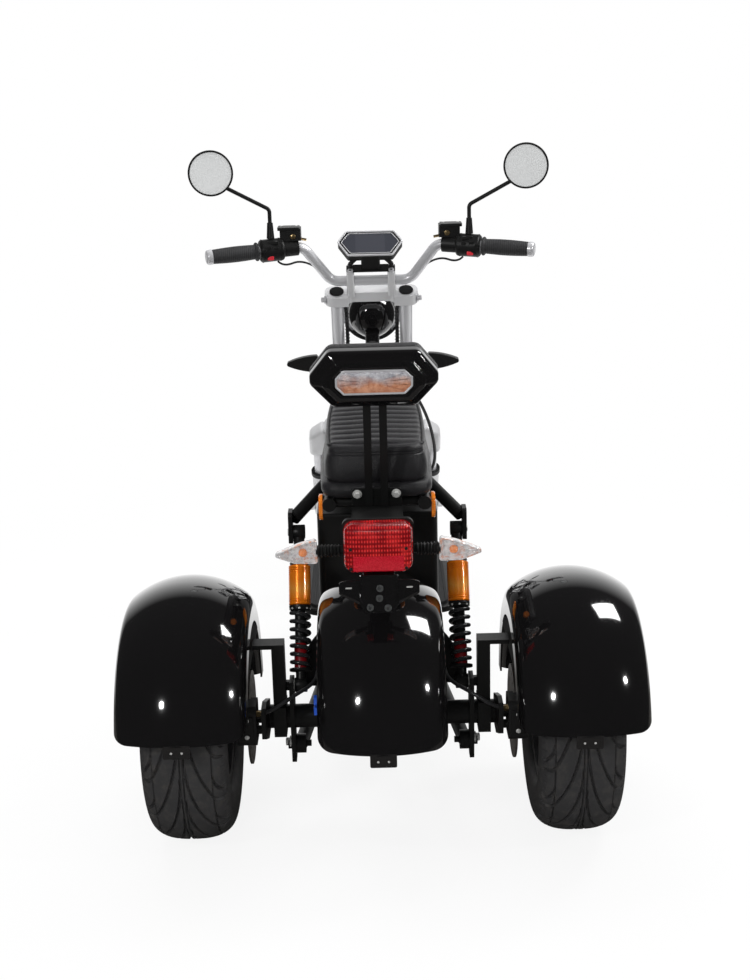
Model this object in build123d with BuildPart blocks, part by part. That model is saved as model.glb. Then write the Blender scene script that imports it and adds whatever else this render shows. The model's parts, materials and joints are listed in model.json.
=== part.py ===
"""A motorized trike: one steered front wheel, two rear wheels on a sprung axle, a long seat and a backrest.

Millimetres, +X to the rider's right, +Y forward, +Z up.
The origin is on the ground at the middle of the footprint.
"""

import os
from math import cos, radians, sin

from build123d import *

os.makedirs("parts", exist_ok=True)

# Clearances
FIT = 0.15
RUN_FIT = 0.3
SEAT_GAP = 0.2
SPACER_GAP = 1.0

# Wheels
WHEELBASE = 1310.0
TRACK = 695.0
TYRE_R = 218.0
TYRE_W = 152.0
TYRE_CROWN = 12.0
TYRE_SHOULDER = 40.0
TYRE_WIDEST_DROP = 52.0
BEAD_R = 116.0
BEAD_HALF = 56.0
RIM_FLANGE_R = 126.0
RIM_FLANGE_T = 5.0
RIM_WALL = 9.0
SPOKE_COUNT = 5
SPOKE_T = 20.0
SPOKE_OUTSET = 22.0
HUB_R = 36.0
HUB_OUT = 58.0
HUB_NECK_R = 29.0
SPINDLE_R = 12.0
SPINDLE_IN_HUB = 40.0
DISC_R = 86.0
DISC_T = 4.0
DISC_HOLES = 16
DISC_HOLE_R = 4.0
DISC_INSET = 106.0

# Rear mudguards, all three of one section; the side ones stand around the tyres
GUARD_GAP = 48.0
GUARD_W = 228.0
GUARD_CROWN_R = 165.0
GUARD_SHOULDER = 34.0
GUARD_DEPTH = 92.0
GUARD_T = 3.5
SIDE_GUARD_FROM = 14.8
SIDE_GUARD_DEG = 170.0
GUARD_PANEL_UP = 127.0
CENTRE_GUARD_R = 266.0
CENTRE_GUARD_W = 228.0
CENTRE_GUARD_Y = 30.0
CENTRE_GUARD_DROP = 14.0
CENTRE_GUARD_FROM = 9.5
CENTRE_GUARD_DEG = 106.0
TAB_W = 46.0
TAB_H = 22.0
TAB_T = 3.0
TAB_LAP = 3.0
TAB_HOLE_R = 2.5
TAB_HOLE_SPACING = 18.0

# Where the whole stands: the rear axle is placed so that the footprint is centred
FRONT_REACH = TYRE_R
GUARD_R = TYRE_R + GUARD_GAP
REAR_REACH = GUARD_R * cos(radians(SIDE_GUARD_FROM))
REAR_Y = -(WHEELBASE + FRONT_REACH - REAR_REACH) / 2
FRONT_Y = REAR_Y + WHEELBASE
AXLE_Z = TYRE_R
RIGHT = TRACK / 2
SIDES = (-1, 1)

# Rear axle: heights are from the axle's line
AXLE_TUBE_R = 22.0
HANGER_X = 165.0
HANGER_T = 8.0
HANGER_W = 52.0
HANGER_UP = 74.0
HANGER_DOWN = 89.0
ARM_BOLT_DOWN = 56.0
BOLT_R = 6.0
CALIPER_SLOT = 10.0
CALIPER_SIZE = (34.0, 62.0, 74.0)
CALIPER_Y = -78.0
CALIPER_UP = 28.0
CALIPER_PLATE_INSET = 25.5
CALIPER_PLATE_SHOW = 2.0
MOTOR_R = 62.0
MOTOR_HALF = 96.0
PLATE_ARC_R = 157.0
PLATE_ARC_UP = 32.0
PLATE_ARC_Y = 64.0
PLATE_T = 4.0
POST_X = 187.5
POST_W = 23.0
POST_DEPTH = 34.0
POST_UP = 148.0
POST_ARM_T = 8.0
CLAMP_BLOCK = 58.0
DISC_X = RIGHT - DISC_INSET
CALIPER_PLATE_X = DISC_X - CALIPER_PLATE_INSET
AXLE_TUBE_HALF = CALIPER_PLATE_X - CALIPER_PLATE_SHOW
HANGER_TOP = AXLE_Z + HANGER_UP
HANGER_BOTTOM = AXLE_Z - HANGER_DOWN
ARM_BOLT_Z = AXLE_Z - ARM_BOLT_DOWN
CALIPER_Z = AXLE_Z + CALIPER_UP
PLATE_ARC_Z = AXLE_Z + PLATE_ARC_UP
POST_TOP = AXLE_Z + POST_UP

# Shock absorbers, measured from the lower eye along their line
SHOCK_X = 148.0
SHOCK_LOW_UP = 62.0
SHOCK_LOW = (0.0, AXLE_Z + SHOCK_LOW_UP)
SHOCK_HIGH = (140.0, 530.0)
SHOCK_EYE_R = 14.0
SHOCK_EYE_W = 22.0
SPRING_FROM = 30.0
SPRING_TO = 140.0
SPRING_R = 16.5
SPRING_WIRE_R = 4.0
SPRING_COILS = 7
SPRING_SLEEVE_R = 13.5
DAMPER_R = 10.0
SPRING_SEAT_R = 21.0
SPRING_SEAT_T = 6.0
CANISTER_R = 20.5
CANISTER_LENGTH = 76.0

# Frame tubes
RAIL_R = 16.0
RAIL_X = 112.0
RAIL_Z = 200.0
TOE_ROOM = 380.0
RAIL_FRONT = WHEELBASE - TOE_ROOM
RAIL_BACK = 455.0
SEAT_RAIL_R = 12.5
CROSS_R = 10.0
SEAT_RAIL_X = 86.0
SEAT_RAIL_Z = 615.0
SEAT_RAIL_FRONT = 610.0
SEAT_RAIL_REAR = 30.0
BACKBONE_R = 28.0
TOWER_FROM = (SEAT_RAIL_X, 235.0, 608.0)
TOWER_TO = (158.0, 152.0, 552.0)
LUG_T = 8.0
HEAD_R = 25.0
HEAD_BORE_R = 15.3
HEAD_GAP = 10.0
HEAD_LENGTH = 172.0
BACKBONE_KNEE = (62.0, 190.0)
PIVOT_R = 15.0
SWING_R = 13.0
SWING_PIVOT_X = 96.0

# Battery, footboard and seat
BATTERY_HALF = 116.0
BATTERY_FROM = 196.0
BATTERY_TO = 396.0
BATTERY_LOW = 262.0
BATTERY_HIGH = 545.0
STRAP_W = 26.0
DECK_HALF = 94.0
DECK_FROM = 490.0
DECK_SHORT = 80.0
DECK_TO = RAIL_FRONT - DECK_SHORT
DECK_LOW = 148.0
BOARD_HALF = 165.0
BOARD_T = 14.0
BOARD_FROM = 502.0
BOARD_SHORT = 12.0
BOARD_TO = RAIL_FRONT - BOARD_SHORT
MAT_MARGIN = 14.0
MAT_T = 5.0
SEAT_PAN_LOW = 628.0
SEAT_PAN_T = 20.0
SEAT_REAR = 22.0
SEAT_FRONT = 632.0
SEAT_HALF = 95.0
SEAT_MID_HALF = 99.0
SEAT_NOSE_HALF = 74.0
SEAT_TOP = 720.0
SEAT_EDGE = 24.0

# Backrest on its two flat bars
BAR_LEAN = 9.0
BAR_W = 13.5
BAR_T = 9.0
BAR_X = 13.8
BAR_FOOT_Y = 6.0
BAR_FOOT_Z = 606.5
BAR_LENGTH = 213.0
FOOT_HALF = 43.5
FOOT_T = 6.0
FOOT_HEIGHT = 34.0
BACKREST_HALF = 111.0
BACKREST_TOP_HALF = 77.0
BACKREST_LOW_HALF = 72.0
BACKREST_HEIGHT = 100.0
BACKREST_UP = BAR_LENGTH + BACKREST_HEIGHT / 2
BACKREST_T = 34.0
BACKREST_ROUND = 9.0
PAD_T = 30.0
LENS_HALF = 64.0
LENS_HEIGHT = 41.0
LENS_CUT = 13.0
LENS_T = 7.0

# Tail: plate, lamp, number plate bracket and indicators
TAIL_HALF = 45.0
TAIL_TOP = 632.0
TAIL_T = 4.0
TAIL_REAR = -104.0
TAIL_DROP = 545.0
LAMP_HALF = 61.0
LAMP_LOW = 542.0
LAMP_HIGH = 634.0
LAMP_BASE_T = 10.0
LAMP_LENS_T = 27.0
LAMP_CORNER = 12.0
BRACKET_HALF = 31.0
BRACKET_Y = -138.0
BRACKET_LOW = 474.0
BRACKET_T = 3.0
WING_HALF = 69.0
WING_LOW = 496.0
WING_HIGH = 532.0
WING_HOLE_X = 52.0
WING_HOLE_R = 3.3
INDICATOR_Y = -88.0
INDICATOR_Z = 570.0
INDICATOR_ROOT = 102.0
INDICATOR_TIP = 178.0
INDICATOR_H = 44.0
INDICATOR_LENS_T = 22.0
STALK_R = 8.0
REFLECTOR_R = 24.0
REFLECTOR_T = 7.0

# Steering
RAKE = 27.0
FORK_OFFSET = 30.0
UPPER_X = 82.0
UPPER_R = 15.0
FRONT_GUARD_W = 212.0
BRIDGE_SIDE_GAP = 14.0
LEG_INSET = 26.0
BRIDGE_INNER = FRONT_GUARD_W / 2 + BRIDGE_SIDE_GAP
LOWER_X = BRIDGE_INNER + LEG_INSET
LOWER_R = 14.0
SLIDER_R = 20.0
SLIDER_FROM = -26.0
SLIDER_TO = 114.0
SEAL_R = 23.0
SEAL_H = 11.0
FRONT_GUARD_GAP = 32.0
FRONT_GUARD_R = TYRE_R + FRONT_GUARD_GAP
BRIDGE_GAP = 18.0
BRIDGE_LEG = 74.0
BRIDGE_T = 34.0
BRIDGE_SHOULDER_DROP = 24.0
BRIDGE_UNDER = FRONT_GUARD_R + BRIDGE_GAP
BRIDGE_LOW = BRIDGE_UNDER - BRIDGE_LEG
BRIDGE_HIGH = BRIDGE_UNDER + BRIDGE_T
BRIDGE_SHOULDER = BRIDGE_UNDER - BRIDGE_SHOULDER_DROP
BRIDGE_HALF = LOWER_X + LEG_INSET
BRIDGE_TOP_HALF = 108.0
BRIDGE_DEPTH = 46.0
HEAD_FROM = BRIDGE_HIGH + HEAD_GAP
HEAD_TO = HEAD_FROM + HEAD_LENGTH
YOKE_GAP = 6.0
YOKE_T = 24.0
YOKE_FROM = HEAD_TO + YOKE_GAP
YOKE_TO = YOKE_FROM + YOKE_T
CROWN_ABOVE = 160.0
CROWN_T = 26.0
CROWN_FROM = YOKE_TO + CROWN_ABOVE
CROWN_TO = CROWN_FROM + CROWN_T
CROWN_HALF = 110.0
CLAMP_FRONT = 24.0
CLAMP_REAR = -52.0
CROWN_REAR = -25.0
CROWN_WEB_REAR = -6.0
CROWN_GAP_HALF = 54.0
CAP_T = 4.0
STEM_R = 15.0
FRONT_AXLE_R = 9.0
FRONT_AXLE_SHOW = 22.0
FRONT_DISC_INSET = 38.0
FRONT_AXLE_HALF = LOWER_X + FRONT_AXLE_SHOW
FRONT_DISC_X = LOWER_X - FRONT_DISC_INSET
FRONT_GUARD_CROWN_R = 155.0
FRONT_GUARD_DEPTH = 88.0
FRONT_GUARD_FROM = 24.0
FRONT_GUARD_DEG = 122.0

# Handlebar and what it carries: set back from the front axle, heights from the bar's middle run
BAR_R = 12.0
BAR_RISE_FROM = 92.0
BAR_ABOVE = 32.0
BAR_BEND_X = 156.0
BAR_BEND_BACK = 364.0
BAR_BEND_UP = 86.8
BAR_END_X = 360.0
BAR_END_BACK = 428.0
BAR_END_UP = 76.8
BAR_BEND_R = 34.0
RISER_X = 48.0
RISER_W = 18.0
RISER_D = 34.0
RISER_ABOVE = 64.0
GRIP_FROM = 258.0
GRIP_R = 18.5
BAR_CAP_T = 14.0
SWITCH_FROM = 200.0
SWITCH_TO = 254.0
SWITCH_R = 26.0
PERCH_FROM = 168.0
PERCH_TO = 194.0
PERCH_R = 19.0
RESERVOIR = (48.0, 44.0, 28.0)
LEVER_R = 5.0
LEVER_AHEAD = 62.0
MIRROR_X = 356.0
MIRROR_BACK = 405.0
MIRROR_UP = 261.8
MIRROR_R = 51.0
MIRROR_T = 16.0
MIRROR_TURN = 8.0
GLASS_T = 3.0
GLASS_RIM = 4.0
STEM_BASE_X = 228.0
STEM_BEND_UP = 175.8
MIRROR_STEM_R = 4.5
BOOT_R = 9.0
BOOT_UP = 145.8
DISPLAY_BACK = 362.0
DISPLAY_UP = 90.8
DISPLAY_TILT = 38.0
DISPLAY_HALF = 76.0
DISPLAY_HEIGHT = 64.0
DISPLAY_CUT = 20.0
DISPLAY_T = 24.0
DISPLAY_STAY = 46.0
SCREEN_RIM = 7.0
SCREEN_T = 3.0

# Headlamp and front indicators
LAMP_ABOVE = 71.0
LAMP_AHEAD = 64.0
BUCKET_R = 58.0
LAMP_RIM_R = 74.0
LAMP_DEPTH = 50.0
LAMP_RIM_T = 16.0
FRONT_INDICATOR_DROP = 4.0
FRONT_INDICATOR_ROOT = 132.0
FRONT_INDICATOR_TIP = 211.0
CABLE_R = 5.0
CABLE_X = 60.0
HOSE_R = 4.0
LEAD_R = 2.4

# The fork's own directions: local y is ahead, local z is up along the legs
FORK = Plane(
    origin=(0, FRONT_Y, AXLE_Z),
    x_dir=(1, 0, 0),
    z_dir=(0, -sin(radians(RAKE)), cos(radians(RAKE))),
)


def on_fork(x, ahead, up):
    """A place given across, ahead of and up along the fork."""
    return FORK.from_local_coords((x, ahead, up))


BAR_T_AT = CROWN_TO + BAR_ABOVE
RISER_TO = CROWN_TO + RISER_ABOVE
LAMP_T_AT = YOKE_TO + LAMP_ABOVE
FRONT_INDICATOR_T_AT = YOKE_FROM - FRONT_INDICATOR_DROP
bar_level = on_fork(0, 0, BAR_T_AT)


def fork_level(up, x=0.0, ahead=0.0):
    """A plane square to the fork legs at a height along them."""
    return Plane(origin=on_fork(x, ahead, up), x_dir=(1, 0, 0), z_dir=FORK.z_dir)


def wheel_plane(x, y, z=AXLE_Z):
    """An upright plane through a wheel's centre: local x across, local y up."""
    return Plane(origin=(x, y, z), x_dir=(1, 0, 0), z_dir=(0, -1, 0))


def bent_tube(points, radius, bend):
    """One round rod along straight runs joined by tangent arcs."""
    with BuildPart() as rod:
        with BuildLine() as path:
            if len(points) == 2:
                Line(*points)
            else:
                FilletPolyline(*points, radius=bend)
        with BuildSketch(Plane(origin=path.line @ 0, z_dir=path.line % 0)):
            Circle(radius)
        sweep()
    return rod.part


def save(piece, label):
    """Name one sub-part and write it out."""
    piece.label = label
    export_step(piece, f"parts/{label}.step")


# Wheels


def tyre_on(plane):
    """A balloon tyre as one closed ring."""
    with BuildPart() as tyre:
        with BuildSketch(plane):
            with BuildLine():
                half = TYRE_W / 2
                edge = TYRE_R - TYRE_CROWN
                flange = BEAD_HALF + SEAT_GAP + RIM_FLANGE_T
                ThreePointArc((-half, edge), (0, TYRE_R), (half, edge))
                Polyline(
                    (half, edge),
                    (half, TYRE_R - TYRE_WIDEST_DROP),
                    (flange, RIM_FLANGE_R + SEAT_GAP),
                    (BEAD_HALF, RIM_FLANGE_R + SEAT_GAP),
                    (BEAD_HALF, BEAD_R),
                    (-BEAD_HALF, BEAD_R),
                    (-BEAD_HALF, RIM_FLANGE_R + SEAT_GAP),
                    (-flange, RIM_FLANGE_R + SEAT_GAP),
                    (-half, TYRE_R - TYRE_WIDEST_DROP),
                    (-half, edge),
                )
            make_face()
            fillet(vertices().group_by(Axis.Y)[-1], TYRE_SHOULDER)
        revolve(axis=Axis(plane.origin, (1, 0, 0)))
    return tyre.part


def rim_on(plane, disc_at, bore_r, bore_to, outset, hub_out):
    """A cast rim: barrel with two flanges, spoked web, hub, and a neck out to the drilled brake disc."""
    flange_half = BEAD_HALF + SEAT_GAP + RIM_FLANGE_T
    barrel_r = BEAD_R - SEAT_GAP
    with BuildPart() as rim:
        with BuildSketch(plane):
            with BuildLine():
                Polyline(
                    (-flange_half, barrel_r - RIM_WALL),
                    (-flange_half, RIM_FLANGE_R),
                    (-flange_half + RIM_FLANGE_T, RIM_FLANGE_R),
                    (-flange_half + RIM_FLANGE_T, barrel_r),
                    (flange_half - RIM_FLANGE_T, barrel_r),
                    (flange_half - RIM_FLANGE_T, RIM_FLANGE_R),
                    (flange_half, RIM_FLANGE_R),
                    (flange_half, barrel_r - RIM_WALL),
                    close=True,
                )
            make_face()
        revolve(axis=Axis(plane.origin, (1, 0, 0)))
        web = Plane(origin=plane.origin + Vector(outset, 0, 0), x_dir=(0, 1, 0), z_dir=(1, 0, 0))
        with BuildSketch(web):
            Circle(barrel_r - RIM_WALL / 2)
            with PolarLocations(0, SPOKE_COUNT):
                with Locations((70, 0)):
                    SlotOverall(48, 40, rotation=90, mode=Mode.SUBTRACT)
        extrude(amount=SPOKE_T / 2, both=True)
        with BuildSketch(web.offset(hub_out - outset)):
            Circle(HUB_R)
        extrude(amount=outset - hub_out - SPOKE_T)
        with BuildSketch(web):
            Circle(HUB_NECK_R)
        extrude(amount=disc_at - outset)
        with BuildSketch(web.offset(disc_at - outset)):
            Circle(DISC_R)
            with PolarLocations(DISC_R - 12, DISC_HOLES):
                Circle(DISC_HOLE_R, mode=Mode.SUBTRACT)
            with PolarLocations(DISC_R - 28, DISC_HOLES // 2, start_angle=11):
                Circle(DISC_HOLE_R, mode=Mode.SUBTRACT)
        extrude(amount=DISC_T / 2, both=True)
        with BuildSketch(web.offset(bore_to - outset)):
            Circle(bore_r)
        extrude(amount=-2 * TYRE_R, mode=Mode.SUBTRACT)
    return rim.part


right_wheel = wheel_plane(RIGHT, REAR_Y)
front_wheel = wheel_plane(0, FRONT_Y)
rear_disc_at = DISC_X - RIGHT
bore_r = SPINDLE_R + RUN_FIT

tyre_right = tyre_on(right_wheel)
rim_right = rim_on(right_wheel, rear_disc_at, bore_r, SPINDLE_IN_HUB + RUN_FIT, SPOKE_OUTSET, HUB_OUT)
save(tyre_right, "tyre_rear_right")
save(rim_right, "rim_rear_right")
save(mirror(tyre_right, about=Plane.YZ), "tyre_rear_left")
save(mirror(rim_right, about=Plane.YZ), "rim_rear_left")

front_bore = FRONT_AXLE_R + RUN_FIT
save(tyre_on(front_wheel), "tyre_front")
save(rim_on(front_wheel, FRONT_DISC_X, front_bore, TYRE_R, 0, HUB_OUT), "rim_front")


# Mudguards


def guard_section(width, top_r, crown_r, shoulder, low_r):
    """The outline of a mudguard across the wheel, filled down to its open side."""
    with BuildSketch() as section:
        with Locations((0, top_r - crown_r)):
            Circle(crown_r)
        with Locations((0, (top_r + low_r) / 2)):
            Rectangle(width, top_r - low_r, mode=Mode.INTERSECT)
        corners = vertices().group_by(Axis.Y)[-1]
        fillet(corners, shoulder)
    return section.sketch


def guard_on(x, y, z, size, rear_deg, sweep_deg):
    """A mudguard: the section carried around the wheel from its rear edge forward."""
    width, top_r, crown_r, depth = size
    rear = radians(rear_deg)
    plane = Plane(origin=(x, y, z), x_dir=(1, 0, 0), z_dir=(0, -sin(rear), -cos(rear)))
    low_r = top_r - depth
    inner_size = (width - 2 * GUARD_T, top_r - GUARD_T, crown_r - GUARD_T, GUARD_SHOULDER - GUARD_T)
    outer = guard_section(width, top_r, crown_r, GUARD_SHOULDER, low_r)
    inner = guard_section(*inner_size, low_r - GUARD_T)
    with BuildPart() as guard:
        with BuildSketch(plane):
            add(outer)
            add(inner, mode=Mode.SUBTRACT)
        revolve(axis=Axis((x, y, z), (-1, 0, 0)), revolution_arc=sweep_deg)
    return guard.part


def tab_under(x, y, z, guard_r, from_deg):
    """A small upright tab with two holes, hung under a mudguard's rear edge."""
    rear = radians(from_deg)
    tab_y = y - guard_r * cos(rear) + GUARD_T / 2
    tab_z = z + guard_r * sin(rear)
    with BuildPart() as tab:
        with BuildSketch(Plane(origin=(x, tab_y, tab_z), x_dir=(1, 0, 0), z_dir=(0, 1, 0))):
            with Locations((0, (TAB_H - TAB_LAP) / 2)):
                RectangleRounded(TAB_W, TAB_H + TAB_LAP, 5)
            with Locations((-TAB_HOLE_SPACING / 2, TAB_H / 2), (TAB_HOLE_SPACING / 2, TAB_H / 2)):
                Circle(TAB_HOLE_R, mode=Mode.SUBTRACT)
        extrude(amount=TAB_T)
    return tab.part


SIDE_GUARD = (GUARD_W, GUARD_R, GUARD_CROWN_R, GUARD_DEPTH)
CENTRE_GUARD = (CENTRE_GUARD_W, CENTRE_GUARD_R, GUARD_CROWN_R, GUARD_DEPTH)
FRONT_GUARD = (FRONT_GUARD_W, FRONT_GUARD_R, FRONT_GUARD_CROWN_R, FRONT_GUARD_DEPTH)
centre_guard_z = AXLE_Z - CENTRE_GUARD_DROP
guard_inner_x = RIGHT - GUARD_W / 2

side_guard = guard_on(RIGHT, REAR_Y, AXLE_Z, SIDE_GUARD, SIDE_GUARD_FROM, SIDE_GUARD_DEG)
side_tab = tab_under(RIGHT, REAR_Y, AXLE_Z, GUARD_R, SIDE_GUARD_FROM)
with BuildPart() as guard_right:
    add(side_guard)
    add(side_tab)
    with BuildSketch(Plane.YZ.offset(guard_inner_x)):
        with Locations((REAR_Y, AXLE_Z)):
            Circle(GUARD_R - GUARD_DEPTH + GUARD_T)
        with Locations((REAR_Y, AXLE_Z + GUARD_PANEL_UP - GUARD_R)):
            Rectangle(4 * GUARD_R, 2 * GUARD_R, mode=Mode.SUBTRACT)
    extrude(amount=GUARD_T)
save(guard_right.part, "mudguard_rear_right")
save(mirror(guard_right.part, about=Plane.YZ), "mudguard_rear_left")

centre_y = REAR_Y + CENTRE_GUARD_Y
centre_guard = guard_on(0, centre_y, centre_guard_z, CENTRE_GUARD, CENTRE_GUARD_FROM, CENTRE_GUARD_DEG)
centre_tab = tab_under(0, centre_y, centre_guard_z, CENTRE_GUARD_R, CENTRE_GUARD_FROM)
with BuildPart() as guard_centre:
    add(centre_guard)
    add(centre_tab)
save(guard_centre.part, "mudguard_rear_centre")

guard_tab_x = BRIDGE_INNER - SEAT_GAP
front_guard = guard_on(0, FRONT_Y, AXLE_Z, FRONT_GUARD, FRONT_GUARD_FROM, FRONT_GUARD_DEG)
with BuildPart() as mudguard_front:
    add(front_guard)
    with BuildSketch(fork_level(BRIDGE_LOW + 4)):
        with Locations((FRONT_GUARD_W / 2 + 6, 0), (-FRONT_GUARD_W / 2 - 6, 0)):
            Rectangle(2 * (guard_tab_x - FRONT_GUARD_W / 2 - 6), 26)
    extrude(amount=14)
save(mudguard_front.part, "mudguard_front")


# Rear axle with its hangers and brake plates

with BuildPart() as rear_axle:
    with BuildSketch(Plane.YZ):
        with Locations((REAR_Y, AXLE_Z)):
            Circle(AXLE_TUBE_R)
    extrude(amount=AXLE_TUBE_HALF, both=True)
    with BuildSketch(Plane.YZ):
        with Locations((REAR_Y, AXLE_Z)):
            Circle(SPINDLE_R)
    extrude(amount=RIGHT + SPINDLE_IN_HUB, both=True)
    with BuildSketch(Plane.YZ.offset(HANGER_X - HANGER_T / 2)):
        with BuildLine():
            Polyline(
                (REAR_Y - HANGER_W / 2, HANGER_TOP),
                (REAR_Y + HANGER_W / 2, HANGER_TOP),
                (REAR_Y + HANGER_W / 2, AXLE_Z),
                (REAR_Y + 18, HANGER_BOTTOM),
                (REAR_Y - 18, HANGER_BOTTOM),
                (REAR_Y - HANGER_W / 2, AXLE_Z),
                close=True,
            )
        make_face()
        fillet(vertices(), 10)
    extrude(amount=HANGER_T)
    with BuildSketch(Plane.YZ.offset(HANGER_X - HANGER_T / 2)):
        with Locations((REAR_Y + SHOCK_LOW[0], SHOCK_LOW[1]), (REAR_Y, ARM_BOLT_Z)):
            Circle(BOLT_R)
    extrude(amount=-28)
    with BuildSketch(Plane.YZ.offset(HANGER_X + HANGER_T / 2)):
        with Locations((REAR_Y + SHOCK_LOW[0], SHOCK_LOW[1]), (REAR_Y, ARM_BOLT_Z)):
            RegularPolygon(10, 6)
    extrude(amount=7)
    with BuildSketch(Plane.YZ.offset(CALIPER_PLATE_X - 8)):
        with BuildLine():
            Polyline(
                (REAR_Y + 24, AXLE_Z - 30),
                (REAR_Y - 30, AXLE_Z - 30),
                (REAR_Y + CALIPER_Y - 22, CALIPER_Z - 26),
                (REAR_Y + CALIPER_Y - 22, CALIPER_Z + 30),
                (REAR_Y + CALIPER_Y + 18, CALIPER_Z + 30),
                (REAR_Y + 24, AXLE_Z + 26),
                close=True,
            )
        make_face()
        fillet(vertices(), 9)
    extrude(amount=8)
    with Locations((POST_X, REAR_Y, AXLE_Z)):
        Box(POST_W, CLAMP_BLOCK, CLAMP_BLOCK)
    with Locations((POST_X, REAR_Y, (AXLE_Z + POST_TOP) / 2)):
        Box(POST_W, POST_DEPTH, POST_TOP - AXLE_Z)
    arm_from = POST_X - POST_W / 2
    arm_to = guard_inner_x - SEAT_GAP
    with Locations(((arm_from + arm_to) / 2, REAR_Y, POST_TOP - POST_ARM_T / 2)):
        Box(arm_to - arm_from, POST_DEPTH, POST_ARM_T)
    mirror(about=Plane.YZ)
save(rear_axle.part, "rear_axle")

with BuildPart() as calipers:
    caliper_x = DISC_X
    with Locations((caliper_x, REAR_Y + CALIPER_Y, CALIPER_Z)):
        Box(*CALIPER_SIZE)
    fillet(edges().filter_by(Axis.X), 12)
    with BuildSketch(Plane.YZ.offset(caliper_x - CALIPER_SLOT / 2)):
        with Locations((REAR_Y, AXLE_Z)):
            Circle(DISC_R + 5)
    extrude(amount=CALIPER_SLOT, mode=Mode.SUBTRACT)
    mount_from = CALIPER_PLATE_X + SEAT_GAP
    with BuildSketch(Plane.YZ.offset(mount_from)):
        with Locations((REAR_Y + CALIPER_Y - 6, CALIPER_Z + 14), (REAR_Y + CALIPER_Y - 6, CALIPER_Z - 14)):
            Circle(8)
    extrude(amount=caliper_x - CALIPER_SIZE[0] / 2 - mount_from + 2)
    mirror(about=Plane.YZ)
save(calipers.part, "rear_calipers")

stay_under = CENTRE_GUARD_R - GUARD_T - SEAT_GAP
stay_reach = PLATE_ARC_Y - CENTRE_GUARD_Y
stay_top = centre_guard_z + (stay_under**2 - stay_reach**2) ** 0.5 - 1.0
stay_low = PLATE_ARC_Z + PLATE_ARC_R - 30
with BuildPart() as drive_motor:
    with BuildSketch(Plane.YZ):
        with Locations((REAR_Y, AXLE_Z)):
            Circle(MOTOR_R)
    extrude(amount=MOTOR_HALF, both=True)
    fillet(edges().filter_by(GeomType.CIRCLE), 12)
    with BuildSketch(Plane.XZ.offset(-(REAR_Y + PLATE_ARC_Y))):
        with Locations((0, PLATE_ARC_Z)):
            Circle(PLATE_ARC_R)
        with Locations((0, PLATE_ARC_Z - PLATE_ARC_R)):
            Rectangle(4 * PLATE_ARC_R, 2 * PLATE_ARC_R, mode=Mode.SUBTRACT)
        with Locations((0, PLATE_ARC_Z)):
            Rectangle(2 * MOTOR_HALF - 30, 100)
        with Locations((0, (stay_top + stay_low) / 2)):
            Rectangle(26, stay_top - stay_low)
    extrude(amount=PLATE_T)
    with Locations((0, REAR_Y + PLATE_ARC_Y / 2, AXLE_Z)):
        Box(70, PLATE_ARC_Y - 2, 40)
    with BuildSketch(Plane.YZ):
        with Locations((REAR_Y, AXLE_Z)):
            Circle(AXLE_TUBE_R + FIT)
    extrude(amount=2 * MOTOR_HALF, both=True, mode=Mode.SUBTRACT)
save(drive_motor.part, "drive_motor")

# Shock absorbers

shock_rise = SHOCK_HIGH[1] - SHOCK_LOW[1]
shock_run = SHOCK_HIGH[0] - SHOCK_LOW[0]
shock_length = (shock_rise**2 + shock_run**2) ** 0.5
SHOCK = Plane(
    origin=(SHOCK_X, REAR_Y + SHOCK_LOW[0], SHOCK_LOW[1]),
    x_dir=(1, 0, 0),
    z_dir=(0, shock_run, shock_rise),
)
canister_from = SPRING_TO + SPRING_SEAT_T + SEAT_GAP
canister_to = canister_from + CANISTER_LENGTH


def shock_axle(along):
    """The line of an eye's bolt at a distance up the shock."""
    return Plane(origin=SHOCK.from_local_coords((0, 0, along)), x_dir=(0, 1, 0), z_dir=(1, 0, 0))


spring_pitch = (SPRING_TO - SPRING_FROM - 2 * SPRING_WIRE_R) / (SPRING_COILS - 1)
spring_out = SPRING_R + SPRING_WIRE_R
strut_low = SPRING_FROM - SPRING_SEAT_T
strut_high = SPRING_TO + SPRING_SEAT_T
with BuildPart() as struts:
    with BuildSketch(Plane(origin=SHOCK.origin, x_dir=(1, 0, 0), z_dir=-SHOCK.y_dir)):
        with BuildLine():
            Polyline(
                (SPRING_SLEEVE_R, SPRING_FROM),
                (SPRING_SEAT_R, SPRING_FROM),
                (SPRING_SEAT_R, strut_low),
                (DAMPER_R, strut_low),
                (DAMPER_R, 6),
                (0, 6),
                (0, shock_length - 6),
                (DAMPER_R, shock_length - 6),
                (DAMPER_R, strut_high),
                (SPRING_SEAT_R, strut_high),
                (SPRING_SEAT_R, SPRING_TO),
                (SPRING_SLEEVE_R, SPRING_TO),
            )
            low = SPRING_FROM
            for coil in range(SPRING_COILS):
                mid = SPRING_FROM + SPRING_WIRE_R + 0.5 + coil * (spring_pitch - 0.2)
                Line((SPRING_SLEEVE_R, low), (SPRING_SLEEVE_R, mid - SPRING_WIRE_R))
                ThreePointArc(
                    (SPRING_SLEEVE_R, mid - SPRING_WIRE_R),
                    (spring_out, mid),
                    (SPRING_SLEEVE_R, mid + SPRING_WIRE_R),
                )
                low = mid + SPRING_WIRE_R
            Line((SPRING_SLEEVE_R, low), (SPRING_SLEEVE_R, SPRING_TO))
        make_face()
    revolve(axis=Axis(SHOCK.origin, SHOCK.z_dir))
    for along in (0, shock_length):
        with BuildSketch(shock_axle(along)):
            Circle(SHOCK_EYE_R)
        extrude(amount=SHOCK_EYE_W / 2, both=True)
    for along in (0, shock_length):
        with BuildSketch(shock_axle(along)):
            Circle(BOLT_R + FIT)
        extrude(amount=SHOCK_EYE_W, both=True, mode=Mode.SUBTRACT)
    mirror(about=Plane.YZ)
save(struts.part, "shock_struts")

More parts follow.
